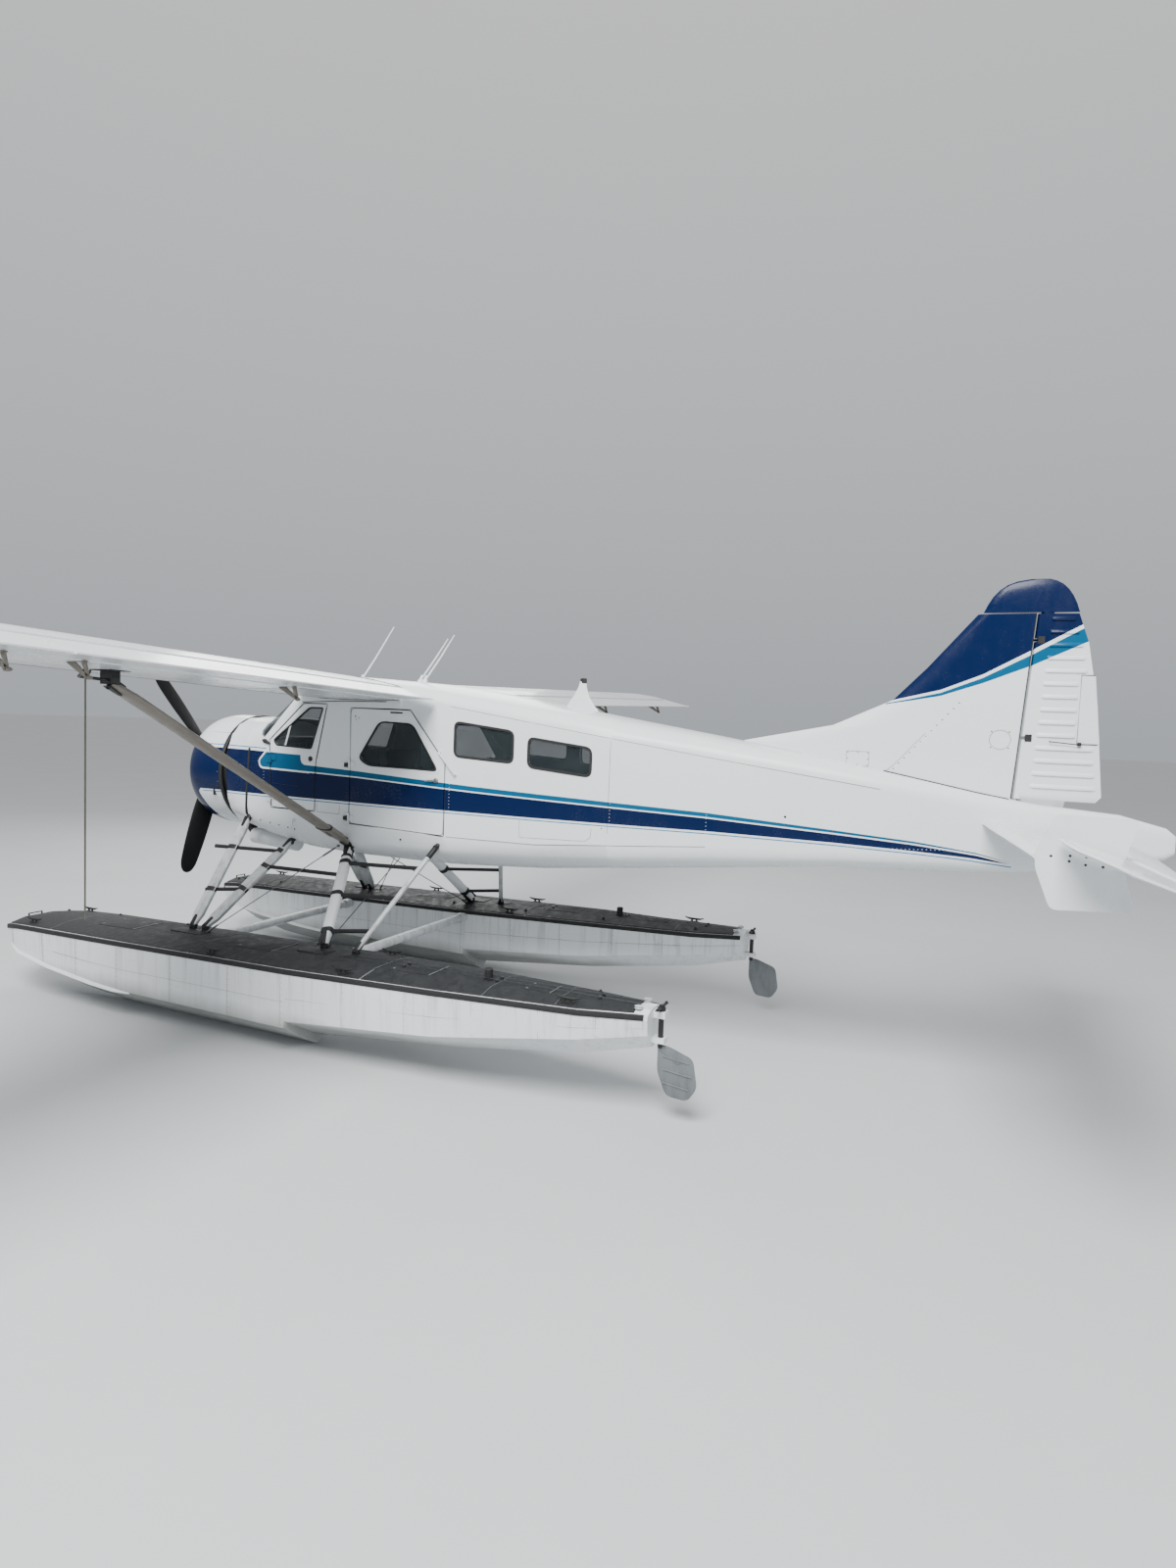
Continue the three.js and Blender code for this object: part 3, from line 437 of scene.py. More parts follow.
# Where the stripes end, where the patch's and the fin's curves start and how long they are, and
# the height that a curve's 1 stands for
STRIPES_END, PATCH_END = 8.3, 1.9
PATCH_START, PATCH_LENGTH, FIN_START, FIN_LENGTH, CURVE_TOP = 1.2, 0.7, 7.3, 1.6, 5.0
LIP_TOP, FIN_FOOT = 2.3, 3.19


def worn_enamel(tree, surface, coat_colour, dirt=0.16, dirt_colour="8E8C84"):
    """Two-pack aircraft enamel: smooth gloss that ripples a little over the sheet, with thin grime."""
    where = places(tree)[0]
    patches = grain(tree, where, 1.3, (1, 1, 1.6), 5, 0.62)
    streaks = grain(tree, where, 9, (0.25, 1, 0.35), 4, 0.6)
    grime = maths(tree, "MULTIPLY", span(tree, patches, 0.42, 0.75, 0, 1), span(tree, streaks, 0.4, 0.8, 0.2,
                                                                                1))
    share = maths(tree, "MULTIPLY", grime, dirt)
    tree.links.new(mix(tree, share, coat_colour, colour(dirt_colour)), surface.inputs["Base Color"])
    speckle = grain(tree, where, 60, detail=2)
    gloss = maths(tree, "ADD", span(tree, grime, 0, 1, 0.2, 0.42), span(tree, speckle, 0.3, 0.7, -0.03, 0.05))
    tree.links.new(gloss, surface.inputs["Roughness"])
    ripple = grain(tree, where, 3.2, (1, 1, 1), 1, 0.4)
    peel = grain(tree, where, 420, detail=1)
    waves = add(tree, "Bump", {"Strength": 0.25, "Distance": 0.006, "Height": ripple})
    fine = add(tree, "Bump", {"Strength": 0.05, "Distance": 0.0006, "Height": peel,
                              "Normal": waves.outputs[0]})
    tree.links.new(fine.outputs[0], surface.inputs["Normal"])


def livery():
    """Body enamel: deep white gloss with masked navy and teal stripes, whose edges are sharp."""
    made, tree, surface = material("striped_aircraft_enamel", Coat_Weight=0.04, Coat_Roughness=0.06,
                                   Specular_IOR_Level=0.18)
    y, z = places(tree)[2:]
    station = maths(tree, "ADD", y, MIDDLE)
    height = maths(tree, "DIVIDE", z, CURVE_TOP)

    def edge(points, start=0.0, length=10.0):
        along = maths(tree, "DIVIDE", maths(tree, "SUBTRACT", station, start), length)
        return curve(tree, along, [((s - start) / length, h / CURVE_TOP) for s, h in points])

    def both_of(a, b):
        return maths(tree, "MULTIPLY", a, b)

    def between(low, high, start=0.0, length=10.0):
        above = maths(tree, "GREATER_THAN", height, edge(low, start, length))
        return both_of(above, maths(tree, "LESS_THAN", height, edge(high, start, length)))

    def ahead_of(s):
        return maths(tree, "LESS_THAN", station, s)

    def aft_of(s):
        return maths(tree, "GREATER_THAN", station, s)

    def raised(points, by):
        return [(s, h + by) for s, h in points]

    coat = colour(WHITE)
    before_tail = ahead_of(STRIPES_END)
    coat = mix(tree, both_of(between(NAVY_LOW, NAVY_HIGH), before_tail), coat, colour(NAVY))
    # aft of the patch the navy stops just under the teal; round the patch runs a white line
    over_navy = maths(tree, "GREATER_THAN", height, edge(raised(TEAL_LOW, -0.012)))
    coat = mix(tree, both_of(aft_of(PATCH_END), over_navy), coat, colour(WHITE))
    in_patch = both_of(aft_of(PATCH_START), ahead_of(PATCH_END))
    for low, high, shade in ((EDGE_LOW, EDGE_HIGH, WHITE), (PATCH_LOW, PATCH_HIGH, TEAL)):
        inside = both_of(in_patch, between(low, high, PATCH_START, PATCH_LENGTH))
        coat = mix(tree, inside, coat, colour(shade))
    stripe = both_of(both_of(aft_of(PATCH_END), before_tail), between(TEAL_LOW, TEAL_HIGH))
    coat = mix(tree, stripe, coat, colour(TEAL))
    # thin teal lines over the nose's navy and under all of it
    thin_high = both_of(between(raised(NAVY_HIGH, 0.027), raised(NAVY_HIGH, 0.038)), ahead_of(1.33))
    thin_low = both_of(between(raised(NAVY_LOW, -0.026), raised(NAVY_LOW, -0.016)),
                       both_of(before_tail, aft_of(0.4)))
    coat = mix(tree, maths(tree, "MAXIMUM", thin_high, thin_low), coat, colour(THIN_TEAL))
    # the cowl's lip is navy below its white top; the navy's rear edge leans and bends near the top
    lip_edge = maths(tree, "ADD", maths(tree, "MULTIPLY", z, -0.33), 0.318 + 0.33 * 2.08)
    near_top = maths(tree, "MAXIMUM", maths(tree, "SUBTRACT", z, 2.035), 0)
    lip_edge = maths(tree, "ADD", lip_edge, maths(tree, "MULTIPLY", both_of(near_top, near_top), 18))
    lip = both_of(ahead_of(lip_edge), maths(tree, "LESS_THAN", z, LIP_TOP))
    coat = mix(tree, lip, coat, colour(NAVY))
    # fin and rudder
    on_fin = both_of(maths(tree, "GREATER_THAN", z, FIN_FOOT), aft_of(FIN_START))
    above_all = [(FIN_START, 4.9), (FIN_START + FIN_LENGTH, 4.9)]
    for low, high, shade in ((FIN_TEAL, FIN_WHITE, TEAL), (FIN_NAVY, above_all, NAVY)):
        coat = mix(tree, both_of(on_fin, between(low, high, FIN_START, FIN_LENGTH)), coat, colour(shade))
    worn_enamel(tree, surface, coat, 0.07, "6B6A66")
    return made


def white_enamel():
    """Plain white enamel of tail and trim: bright and even, dulled a little by weather."""
    made, tree, surface = material("weathered_white_enamel", Coat_Weight=0.25, Coat_Roughness=0.1)
    worn_enamel(tree, surface, colour(WHITE), 0.22)
    return made


def riveted_enamel():
    """Wing skins: white enamel over rows of rivet heads along each rib and spar."""
    made, tree, surface = material("riveted_white_enamel", Coat_Weight=0.2, Coat_Roughness=0.12)
    x, y = places(tree)[1:3]

    def off_line(value, pitch):
        """The square of the distance to the nearest of lines a pitch apart."""
        distance = maths(tree, "PINGPONG", value, pitch / 2)
        return maths(tree, "MULTIPLY", distance, distance)

    def rows(line, along, line_pitch, pitch):
        distance = maths(tree, "SQRT", maths(tree, "ADD", off_line(line, line_pitch), off_line(along, pitch)))
        return span(tree, distance, 0.0028, 0.0042, 1, 0)

    # heads are drawn 7 mm across, larger than real ones, so that they show
    ribs = rows(maths(tree, "ABSOLUTE", x), y, 0.355, 0.036)
    spars = rows(maths(tree, "ADD", y, 1.9705), x, 0.398, 0.036)
    rivets = maths(tree, "MAXIMUM", ribs, spars)
    dulled = mix(tree, maths(tree, "MULTIPLY", rivets, 0.35), colour(WHITE), colour("8C8E8E"))
    worn_enamel(tree, surface, dulled, 0.3)
    old = surface.inputs["Normal"].links[0].from_socket
    heads = add(tree, "Bump", {"Strength": 0.6, "Distance": 0.002, "Height": rivets, "Normal": old})
    tree.links.new(heads.outputs[0], surface.inputs["Normal"])
    return made


def float_enamel():
    """Float sides: white enamel with dark runs below the rails and a stained band at the waterline."""
    made, tree, surface = material("stained_float_enamel", Coat_Weight=0.1, Coat_Roughness=0.25)
    where, _, _, z = places(tree)
    runs = grain(tree, where, 16, (1, 1, 0.06), 5, 0.65)
    waterline = grain(tree, where, 2.2, (1, 1, 0.2), 4, 0.6)
    level = maths(tree, "ADD", z, maths(tree, "MULTIPLY", maths(tree, "SUBTRACT", waterline, 0.5), 0.16))
    scum = maths(tree, "MULTIPLY", span(tree, level, 0.25, 0.40, 1, 0), span(tree, level, 0.0, 0.22, 0.45, 1))
    streaks = maths(tree, "MULTIPLY", span(tree, runs, 0.5, 0.75, 0, 1), span(tree, z, 0.35, 0.75, 0.15,
                                                                              0.55))
    coat = mix(tree, streaks, colour(WHITE), colour("77787A"))
    coat = mix(tree, maths(tree, "MULTIPLY", scum, 0.62), coat, colour("67665A"))
    scratches = grain(tree, where, 40, (1, 0.06, 1), 5, 0.7)
    coat = mix(tree, span(tree, scratches, 0.6, 0.8, 0, 0.4), coat, colour("9A9C9D"))
    tree.links.new(coat, surface.inputs["Base Color"])
    tree.links.new(span(tree, scum, 0, 1, 0.3, 0.6), surface.inputs["Roughness"])
    dents = grain(tree, where, 4, (1, 1, 1), 2, 0.4)
    bump = add(tree, "Bump", {"Strength": 0.35, "Distance": 0.008, "Height": dents})
    tree.links.new(bump.outputs[0], surface.inputs["Normal"])
    return made


def sprayed(name, code, low, high, dirt="5F5E5A", share=0.3, **shader):
    """Satin sprayed paint with scuffs that lighten or darken it."""
    made, tree, surface = material(name, **shader)
    where = places(tree)[0]
    scuffs = grain(tree, where, 14, (1, 1, 0.4), 6, 0.65)
    tree.links.new(mix(tree, span(tree, scuffs, 0.45, 0.75, 0, share), colour(code), colour(dirt)),
                   surface.inputs["Base Color"])
    tree.links.new(span(tree, scuffs, 0.3, 0.7, low, high), surface.inputs["Roughness"])
    peel = grain(tree, where, 300, detail=2)
    bump = add(tree, "Bump", {"Strength": 0.12, "Distance": 0.0008, "Height": peel})
    tree.links.new(bump.outputs[0], surface.inputs["Normal"])
    return made


striped = livery()
plain_white = white_enamel()
float_white = float_enamel()
wing_white = riveted_enamel()
# wing struts: even grey satin with a soft sheen
strut_grey = sprayed("satin_grey_strut_paint", "78726A", 0.35, 0.55)
# float struts: bright silver paint, darkened by grime and boots
strut_silver = sprayed("worn_silver_strut_paint", "BDC1C3", 0.3, 0.5, "5E5C56", 0.6)
# bare sheet that has dulled: mid grey, with dark scuffs
dull_metal = sprayed("dull_scuffed_aluminium", "6A6F71", 0.45, 0.6, "3A3C3C", 0.5)
# propeller: deep black that reflects almost nothing
blade_black = sprayed("matt_black_blade_paint", "08090A", 0.45, 0.65, "1C1D1F", 0.2,
                      Specular_IOR_Level=0.2)
# steel fittings: black paint with a hint of rust
fitting_black = sprayed("black_painted_steel", "141517", 0.45, 0.65, "35302A", 0.3)
# seals and rails: dull black with a grey bloom
rubber = sprayed("moulded_black_rubber", "1A1A1B", 0.65, 0.85, "3A3937", 0.25)
# decks: coarse black grip paint, rubbed grey where feet go
deck_black = sprayed("non_skid_deck_paint", "151719", 0.5, 0.9, "3B3D3E", 0.4)
# engine and hub castings: grey metal with oily dark patches
cast_metal = sprayed("cast_grey_aluminium", "8C8E90", 0.4, 0.6, "3B3A38", 0.5, Metallic=0.8)
# stays and cables: smooth dark steel with a narrow gleam
wire_steel = sprayed("drawn_steel_wire", "6B6E70", 0.25, 0.4, "2A2A2A", 0.4, Metallic=1.0)
# seats: dark grey cover with a fine grain and a low sheen
vinyl = sprayed("grained_grey_vinyl", "3C3E42", 0.45, 0.65)
# panel and seat frames: near black, slightly rough plastic
moulded = sprayed("moulded_black_plastic", "232427", 0.5, 0.7)
# cabin walls: flat mid grey covering, a little soiled
lining = sprayed("grey_cabin_lining", "77787A", 0.6, 0.8, "4E4F50", 0.3)
# rope: dusty grey fibre without gloss
rope_fibre = sprayed("laid_polyester_rope", "6C675E", 0.85, 0.95)


def acrylic():
    """Clear acrylic sheet: thin, see-through and glossy, with a faint smoke tint."""
    made, tree, surface = material("clear_acrylic_sheet", Roughness=0.03, IOR=1.49, Alpha=0.28)
    where = places(tree)[0]
    haze = grain(tree, where, 6, detail=4)
    tree.links.new(mix(tree, span(tree, haze, 0.35, 0.7, 0, 0.4), colour("2C363A"), colour("515B5E")),
                   surface.inputs["Base Color"])
    tree.links.new(span(tree, haze, 0.4, 0.75, 0.02, 0.09), surface.inputs["Roughness"])
    return made


glass = acrylic()


def lens(name, code, rib_code):
    """Moulded coloured lens: glossy, with faint darker ribs inside."""
    made, tree, surface = material(name, Roughness=0.08, Coat_Weight=0.6)
    ribs = add(tree, "TexWave", {"Vector": places(tree)[0], "Scale": 60.0, "Distortion": 0.5}).outputs["Fac"]
    tree.links.new(mix(tree, ribs, colour(code), colour(rib_code)), surface.inputs["Base Color"])
    return made


red_lens = lens("red_lens", "A8140F", "30100C")
green_lens = lens("green_lens", "0E7A3C", "0C2A18")

# Floor and light
bpy.ops.mesh.primitive_plane_add(size=400, location=(0, 0, 0))
floor = bpy.context.object
floor.name = "studio_floor"
floor_paint, tree, surface = material("pale_studio_floor", Roughness=0.8)
tree.links.new(mix(tree, grain(tree, places(tree)[0], 0.6, detail=4), colour("B9BCBE"), colour("C3C5C6")),
               surface.inputs["Base Color"])
floor.data.materials.append(floor_paint)

world = bpy.data.worlds.new("soft_studio")
bpy.context.scene.world = world
world.use_nodes = True
tree = world.node_tree
direction = add(tree, "SeparateXYZ", {0: add(tree, "TexCoord").outputs["Generated"]}).outputs["Z"]
glow = mix(tree, span(tree, direction, 0.0, 0.7, 0, 1), colour("C4C9CF"), colour("FBFCFD"))
tree.links.new(glow, tree.nodes["Background"].inputs["Color"])
tree.nodes["Background"].inputs["Strength"].default_value = 0.8


def softbox(name, place, aim, size, power):
    deselect()
    bpy.ops.object.light_add(type="AREA", location=place)
    lamp = bpy.context.object
    lamp.name = name
    lamp.data.shape = "RECTANGLE"
    lamp.data.size, lamp.data.size_y = size
    lamp.data.energy = power
    lamp.rotation_euler = (Vector(aim) - Vector(place)).to_track_quat("-Z", "Y").to_euler()
    return lamp


softbox("key_softbox", (11, 2, 14), (0, 0, 2), (8, 8), 5200)
softbox("fill_softbox", (-10, -9, 10), (0, 0, 2), (9, 9), 1200)

# Rope that hangs from the left wing's ring
ROPE_TOP, ROPE_LENGTH, ROPE_STEPS = at(3.543, 2.570, 3.1207), 1.6307, 28
deselect()
bpy.ops.curve.primitive_nurbs_path_add()
rope = bpy.context.object
rope.name = "hanging_rope"
rope.data.splines.remove(rope.data.splines[0])
spline = rope.data.splines.new("POLY")
spline.points.add(ROPE_STEPS)
for i, point in enumerate(spline.points):
    drop = ROPE_LENGTH * i / ROPE_STEPS
    point.co = (*(ROPE_TOP - Vector((0, 0, drop))), 1)
rope.data.dimensions = "3D"
rope.data.bevel_depth = 0.006
rope.data.bevel_resolution = 4
rope.data.use_fill_caps = True
rope.data.materials.append(rope_fibre)
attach(rope, "airframe")
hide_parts("wing_rope")


# Body panels: a merged, smooth-shaded copy of each CAD solid stands for it
def dressed(node, paint, angle=32):
    source = frame["nodes"][node]
    pick(source)
    bpy.ops.object.duplicate()
    piece = bpy.context.object
    piece.parent = None
    for key in list(piece.keys()):
        del piece[key]
    piece.matrix_world = Matrix.Identity(4)
    edit(piece)
    bpy.ops.mesh.select_all(action="SELECT")
    bpy.ops.mesh.remove_doubles(threshold=0.0001)
    bpy.ops.mesh.dissolve_limited(angle_limit=math.radians(0.5))
    bpy.ops.object.mode_set(mode="OBJECT")
    finish(piece, node + "_skin", paint, source["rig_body"], angle, [node])
    return modify(piece, "WEIGHTED_NORMAL", keep_sharp=True)


for name in ("end_plate_left", "end_plate_right", "elevator", "exhaust_fairing"):
    dressed(name, plain_white)
for name in ("wing_left", "wing_right", "flap_left", "flap_right", "aileron_left", "aileron_right",
             "tailplane_left", "tailplane_right"):
    dressed(name, wing_white)
for name in ("cabin", "tail_body", "fin", "rudder", "rear_cowl", "pilot_door_left", "pilot_door_right",
             "cabin_door_left", "cabin_door_right"):
    dressed(name, striped)
for name in ("windscreen", "pilot_door_glass_left", "pilot_door_glass_right", "cabin_door_glass_left",
             "cabin_door_glass_right", "cabin_glass_1_left", "cabin_glass_1_right", "cabin_glass_2_left",
             "cabin_glass_2_right"):
    dressed(name, glass)

# The rear cowl's faces that look forward into the cooling gap are painted black, a painted shade in the gap,
# and the floats' bow tips are black rubber
repaint(bpy.data.objects["rear_cowl_skin"], fitting_black,
        lambda middle, normal: normal.y < -0.6 and middle.y < at(0, 0.8, 0).y)
for name in ("float_left", "float_right"):
    repaint(dressed(name, float_white, angle=15), rubber, lambda middle, normal: (
        normal.y < -0.3 and middle.y < at(0, -1.1, 0).y and middle.z > 0.5))


def read(table, value):
    """The other columns of a table at a value of its first one, between its rows."""
    for a, b in zip(table, table[1:]):
        if value <= b[0]:
            break
    t = min(max((value - a[0]) / (b[0] - a[0]), 0), 1)
    return [p + (q - p) * t for p, q in zip(a[1:], b[1:])]


# The body's own shape, in millimetres, so that what lies on it can be placed
BODY = (
    # station, half width, side top, crown, side bottom, belly
    (1050, 610, 2560, 2885, 1960, 1655), (1250, 618, 2640, 2905, 1930, 1600),
    (1750, 622, 3120, 3225, 1880, 1520), (2300, 622, 3270, 3330, 1855, 1505),
    (3150, 622, 3160, 3282, 1850, 1507), (3540, 612, 3055, 3240, 1850, 1520),
    (4380, 570, 2933, 3117, 1860, 1572), (5100, 505, 2828, 3010, 1900, 1645),
    (5950, 395, 2705, 2886, 1955, 1732), (7000, 280, 2552, 2722, 2010, 1840),
    (8040, 165, 2400, 2530, 2060, 1895), (8480, 115, 2350, 2466, 2085, 1945),
    (9000, 68, 2300, 2428, 2120, 2040), (9362, 20, 2240, 2300, 2200, 2160),
)


def section(station):
    """Half width, side top, crown, side bottom and belly at a station, in metres."""
    return [v * MM for v in read(BODY, station * 1000)]


def flank(station, z, proud=0.0):
    """The point on the body's left side at a station and height, standing proud by a distance."""
    half, high, crown, low, belly = section(station)
    if low <= z <= high:
        return at(half + proud, station, z)
    rise = (z - high) / (crown - high) if z > high else (low - z) / (low - belly)
    around = math.sqrt(max(1 - min(rise, 1) ** 2.5, 0))
    return at(half * around ** 0.8 + proud, station, z)


def crest(station, x=0.0, proud=0.0):
    """The point on the body's top over a distance from the middle."""
    half, high, crown, low, belly = section(station)
    across = min(abs(x) / half, 1) ** 1.25
    return at(x, station, high + (crown - high) * math.sqrt(1 - across ** 2) ** 0.8 + proud)


def grown(corners, distance):
    """A loop of [station, height] corners moved outwards."""
    points = [Vector(c) for c in corners]
    area = sum(a.x * b.y - b.x * a.y for a, b in zip(points, points[1:] + points[:1]))
    turn = 1 if area > 0 else -1
    moved = []
    for i, corner in enumerate(points):
        into = (corner - points[i - 1]).normalized()
        out = (points[(i + 1) % len(points)] - corner).normalized()
        a, b = Vector((into.y, -into.x)) * turn, Vector((out.y, -out.x)) * turn
        middle = (a + b).normalized()
        moved.append(corner + middle * (distance / middle.dot(a)))
    return moved


def loop_on_flank(corners, distance, rounding, proud):
    """The corners' loop, moved outwards by a distance, rounded and laid on the body's side."""
    radius = rounding + max(distance, -rounding * 0.8)
    flat = rounded([c.to_3d() for c in grown(corners, distance)], radius)
    return [flank(p.x, p.y, proud) for p in flat]


def band(outer, inner, thickness):
    """A flat band between two loops of equally many points, with rounded edges."""
    piece = start_ring(outer, "NOTHING", "EDGE")
    extend_ring(piece, inner)
    end_rings(piece)
    modify(piece, "SOLIDIFY", thickness=thickness, offset=0)
    return soften(outward(piece), thickness * 0.3, 1)


def seam(points, radius=0.0016, sides=6):
    """A thin dark line of sealant or shadow that lies half sunk in the skin."""
    return tube(points, radius, sides)


def flank_line(start, end, steps=8):
    """Points on the body's side along a straight line from one [station, height] to another."""
    (s0, z0), (s1, z1) = start, end
    return [flank(s0 + (s1 - s0) * i / steps, z0 + (z1 - z0) * i / steps) for i in range(steps + 1)]


def stud(place, axis, radius, height, steps=12):
    """A domed fastener head standing on a surface."""
    profile = [(-height, 0), (-height, radius), (height * 0.45, radius), (height * 0.8, radius * 0.8),
               (height, radius * 0.45), (height * 1.05, 0)]
    return lathe(profile, place, axis, steps)


def pin_outline(low, high, radius):
    """The outline of a plain round pin, for lathe."""
    return [(low, 0), (low, radius), (high, radius), (high, 0)]


# Outlines on the body's side, as [station, height] in metres
PILOT_DOOR = [(1.410, 1.965), (1.375, 2.655), (1.815, 3.040), (2.112, 3.040), (1.978, 2.450), (1.975, 1.965)]
PILOT_WINDOW = [(1.462, 2.604), (1.430, 2.655), (1.893, 3.000), (2.062, 3.000), (1.920, 2.588)]
CABIN_DOOR = [(2.403, 1.878), (2.403, 3.010), (3.100, 3.010), (3.493, 2.530), (3.493, 1.845)]
CABIN_WINDOW = [(2.505, 2.525), (2.745, 2.888), (3.125, 2.880), (3.415, 2.450), (2.614, 2.460)]
REAR_WINDOWS = ([(3.590, 2.600), (3.590, 2.915), (4.185, 2.848), (4.185, 2.568)],
                [(4.340, 2.541), (4.340, 2.801), (4.930, 2.731), (4.930, 2.486)])

# Window seals of black rubber, with a pressed white frame round each door window
for body, corners, rounding in (("pilot_door", PILOT_WINDOW, 0.024), ("cabin_door", CABIN_WINDOW, 0.060)):
    seal = band(loop_on_flank(corners, 0.006, rounding, 0.001),
                loop_on_flank(corners, -0.010, rounding, 0.001), 0.007)
    trim = band(loop_on_flank(corners, 0.030, rounding, 0.0),
                loop_on_flank(corners, 0.008, rounding, 0.0), 0.006)
    finish_sides(seal, body + "_window_seal", rubber, body)
    finish_sides(trim, body + "_window_frame", plain_white, body)
seals = [band(loop_on_flank(corners, 0.012, 0.060, 0.001),
              loop_on_flank(corners, -0.012, 0.060, 0.001), 0.008) for corners in REAR_WINDOWS]
finish(both(join(*seals)), "rear_window_seals", rubber)

# Post between the pilot's opening pane and the quarter light ahead of it
post = bar(flank(1.655, 2.842, -0.004), flank(1.574, 2.590, -0.004), 0.022, 0.014, 8)
finish_sides(post, "pilot_window_post", plain_white, "pilot_door")

# Door handles: a push button in a cup on the pilot's door, a swinging lever on the cabin's
cup = lathe([(-0.012, 0), (-0.012, 0.026), (0.004, 0.026), (0.006, 0.022), (0.004, 0.015), (0.004, 0)],
            flank(1.912, 2.488), LEFT, 24)
button = stud(flank(1.912, 2.488, 0.004), LEFT, 0.013, 0.006, 20)
finish_sides(join(cup, button), "pilot_door_button", fitting_black, "pilot_door")
boss = lathe([(-0.01, 0), (-0.01, 0.024), (0.010, 0.024), (0.016, 0.017), (0.016, 0)],
             flank(3.40, 2.36), LEFT, 24)
lever = bar(flank(3.40, 2.36, 0.018), flank(3.29, 2.352, 0.022), 0.020, 0.010, 10, UP,
            [(0, 1), (0.85, 0.8), (1, 0.5)])
finish_sides(join(boss, lever), "cabin_door_lever", cast_metal, "cabin_door")

# Dark steel hinge blocks on the post ahead of the cabin door
blocks = [block(flank(2.350, z - 0.020, -0.004), flank(2.388, z + 0.020, 0.026), 0.004)
          for z in (2.452, 1.930)]
finish(both(join(*blocks)), "cabin_door_hinge_blocks", fitting_black)

# Grab handle behind the cabin door
GRIP_ENDS = ((3.434, 2.634), (3.612, 2.426))
grip = tube([flank(*GRIP_ENDS[0], -0.004), flank(3.440, 2.628, 0.030), flank(3.606, 2.432, 0.030),
             flank(*GRIP_ENDS[1], -0.004)], 0.008, 12)
feet = [stud(flank(s, z), LEFT, 0.017, 0.005) for s, z in GRIP_ENDS]
finish(both(join(grip, *feet)), "grab_handles", plain_white)

# Panel seams as [start, end, steps]: kick panel, baggage door, upper and lower body seams, frames
SEAMS = (
    ((2.000, 2.058), (2.002, 1.963), 2), ((2.002, 1.963), (2.284, 1.959), 3),
    ((2.284, 1.959), (2.284, 2.050), 2), ((4.272, 2.066), (4.279, 1.900), 2),
    ((4.279, 1.900), (4.900, 1.915), 5), ((4.900, 1.915), (4.950, 1.950), 2),
    ((4.950, 1.950), (4.957, 2.034), 2), ((3.540, 3.055), (5.914, 2.710), 16),
    ((5.914, 2.710), (7.324, 2.520), 10), ((3.520, 1.842), (4.415, 1.846), 6),
    ((4.415, 1.846), (5.958, 1.950), 8), ((3.500, 2.313), (3.500, 1.850), 3),
    ((5.104, 2.000), (5.104, 2.800), 3),
)
lines = [seam(flank_line(*line)) for line in SEAMS]
finish(both(join(*lines)), "body_panel_seams", fitting_black)
strip = seam(flank_line((1.062, 1.864), (1.068, 2.124)) + flank_line((1.069, 2.130), (1.100, 2.560)), 0.013,
             8)
finish(both(strip), "firewall_strips", deck_black)


def rivet_row(start, end, count):
    """A row of rivet heads on the body's side, from one [station, height] to another."""
    a, b = flank(*start), flank(*end)
    return row(stud(a, LEFT, 0.0032, 0.0014, 6), count, (b - a) / (count - 1))


# Rows of rivets along the body's seams, and the bolts under the nose
RIVETS = (
    ((3.56, 3.022), (4.36, 2.905), 27), ((4.40, 2.900), (5.08, 2.800), 22),
    ((5.16, 2.790), (5.90, 2.682), 25), ((5.98, 2.670), (6.98, 2.526), 34),
    ((2.45, 1.842), (3.42, 1.822), 33), ((3.56, 1.870), (4.36, 1.872), 27),
    ((4.42, 1.880), (5.08, 1.918), 22), ((5.16, 1.924), (5.90, 1.972), 25),
    ((5.98, 1.980), (6.98, 2.032), 34), ((7.04, 2.036), (8.00, 2.082), 32),
    ((5.118, 2.02), (5.118, 2.78), 26), ((5.955, 2.00), (5.955, 2.66), 22),
    ((1.30, 2.02), (1.30, 2.36), 11), ((3.545, 2.40), (3.545, 1.90), 17),
)
rows = [rivet_row(*line) for line in RIVETS]
finish(both(join(*rows)), "body_rivets", plain_white)
bolts = [stud(flank(s, z), LEFT, 0.007, 0.004, 8)
         for s, z in ((1.248, 1.816), (1.38, 1.80), (1.50, 1.786), (1.62, 1.772), (1.708, 1.761),
                      (1.12, 1.83))]
spots = [stud(flank(s, z), LEFT, r, 0.003, 10)
         for s, z, r in ((3.015, 1.771, 0.009), (6.60, 2.25, 0.010), (5.05, 2.04, 0.006))]
finish(both(join(*bolts, *spots)), "body_bolts", fitting_black)

# Rubber strip along the joint of roof and wing
strip = seam([at(0.624, 1.80, 3.052), at(0.626, 2.30, 3.072), at(0.626, 2.82, 3.080)], 0.0035, 8)
finish(both(strip), "roof_joint_strip", rubber)

# Black strips laid in the gaps round each door: painted shade in the door gaps
for body, corners in (("pilot_door", PILOT_DOOR), ("cabin_door", CABIN_DOOR)):
    loop = loop_on_flank(corners, 0.0032, 0.010, -0.0006)
    finish(both(seam(loop + [loop[0]], 0.0036, 8)), body + "_strips", rubber)

# What swings with the doors: sill line and keyhole, screws and vent
sill = seam(flank_line((1.405, 2.215), (1.757, 2.200), 3))
keyhole = stud(flank(1.90, 2.46), LEFT, 0.005, 0.003, 10)
finish_sides(join(sill, keyhole), "pilot_door_marks", fitting_black, "pilot_door")
screws = [stud(flank(s, z), LEFT, r, 0.003, 10)
          for s, z, r in ((2.46, 2.93, 0.008), (2.50, 2.915, 0.006), (2.47, 2.90, 0.005))]
vent = block(flank(2.87, 2.972, -0.004), flank(3.01, 2.986, 0.006), 0.002)
finish_sides(join(*screws, vent), "cabin_door_marks", fitting_black, "cabin_door")

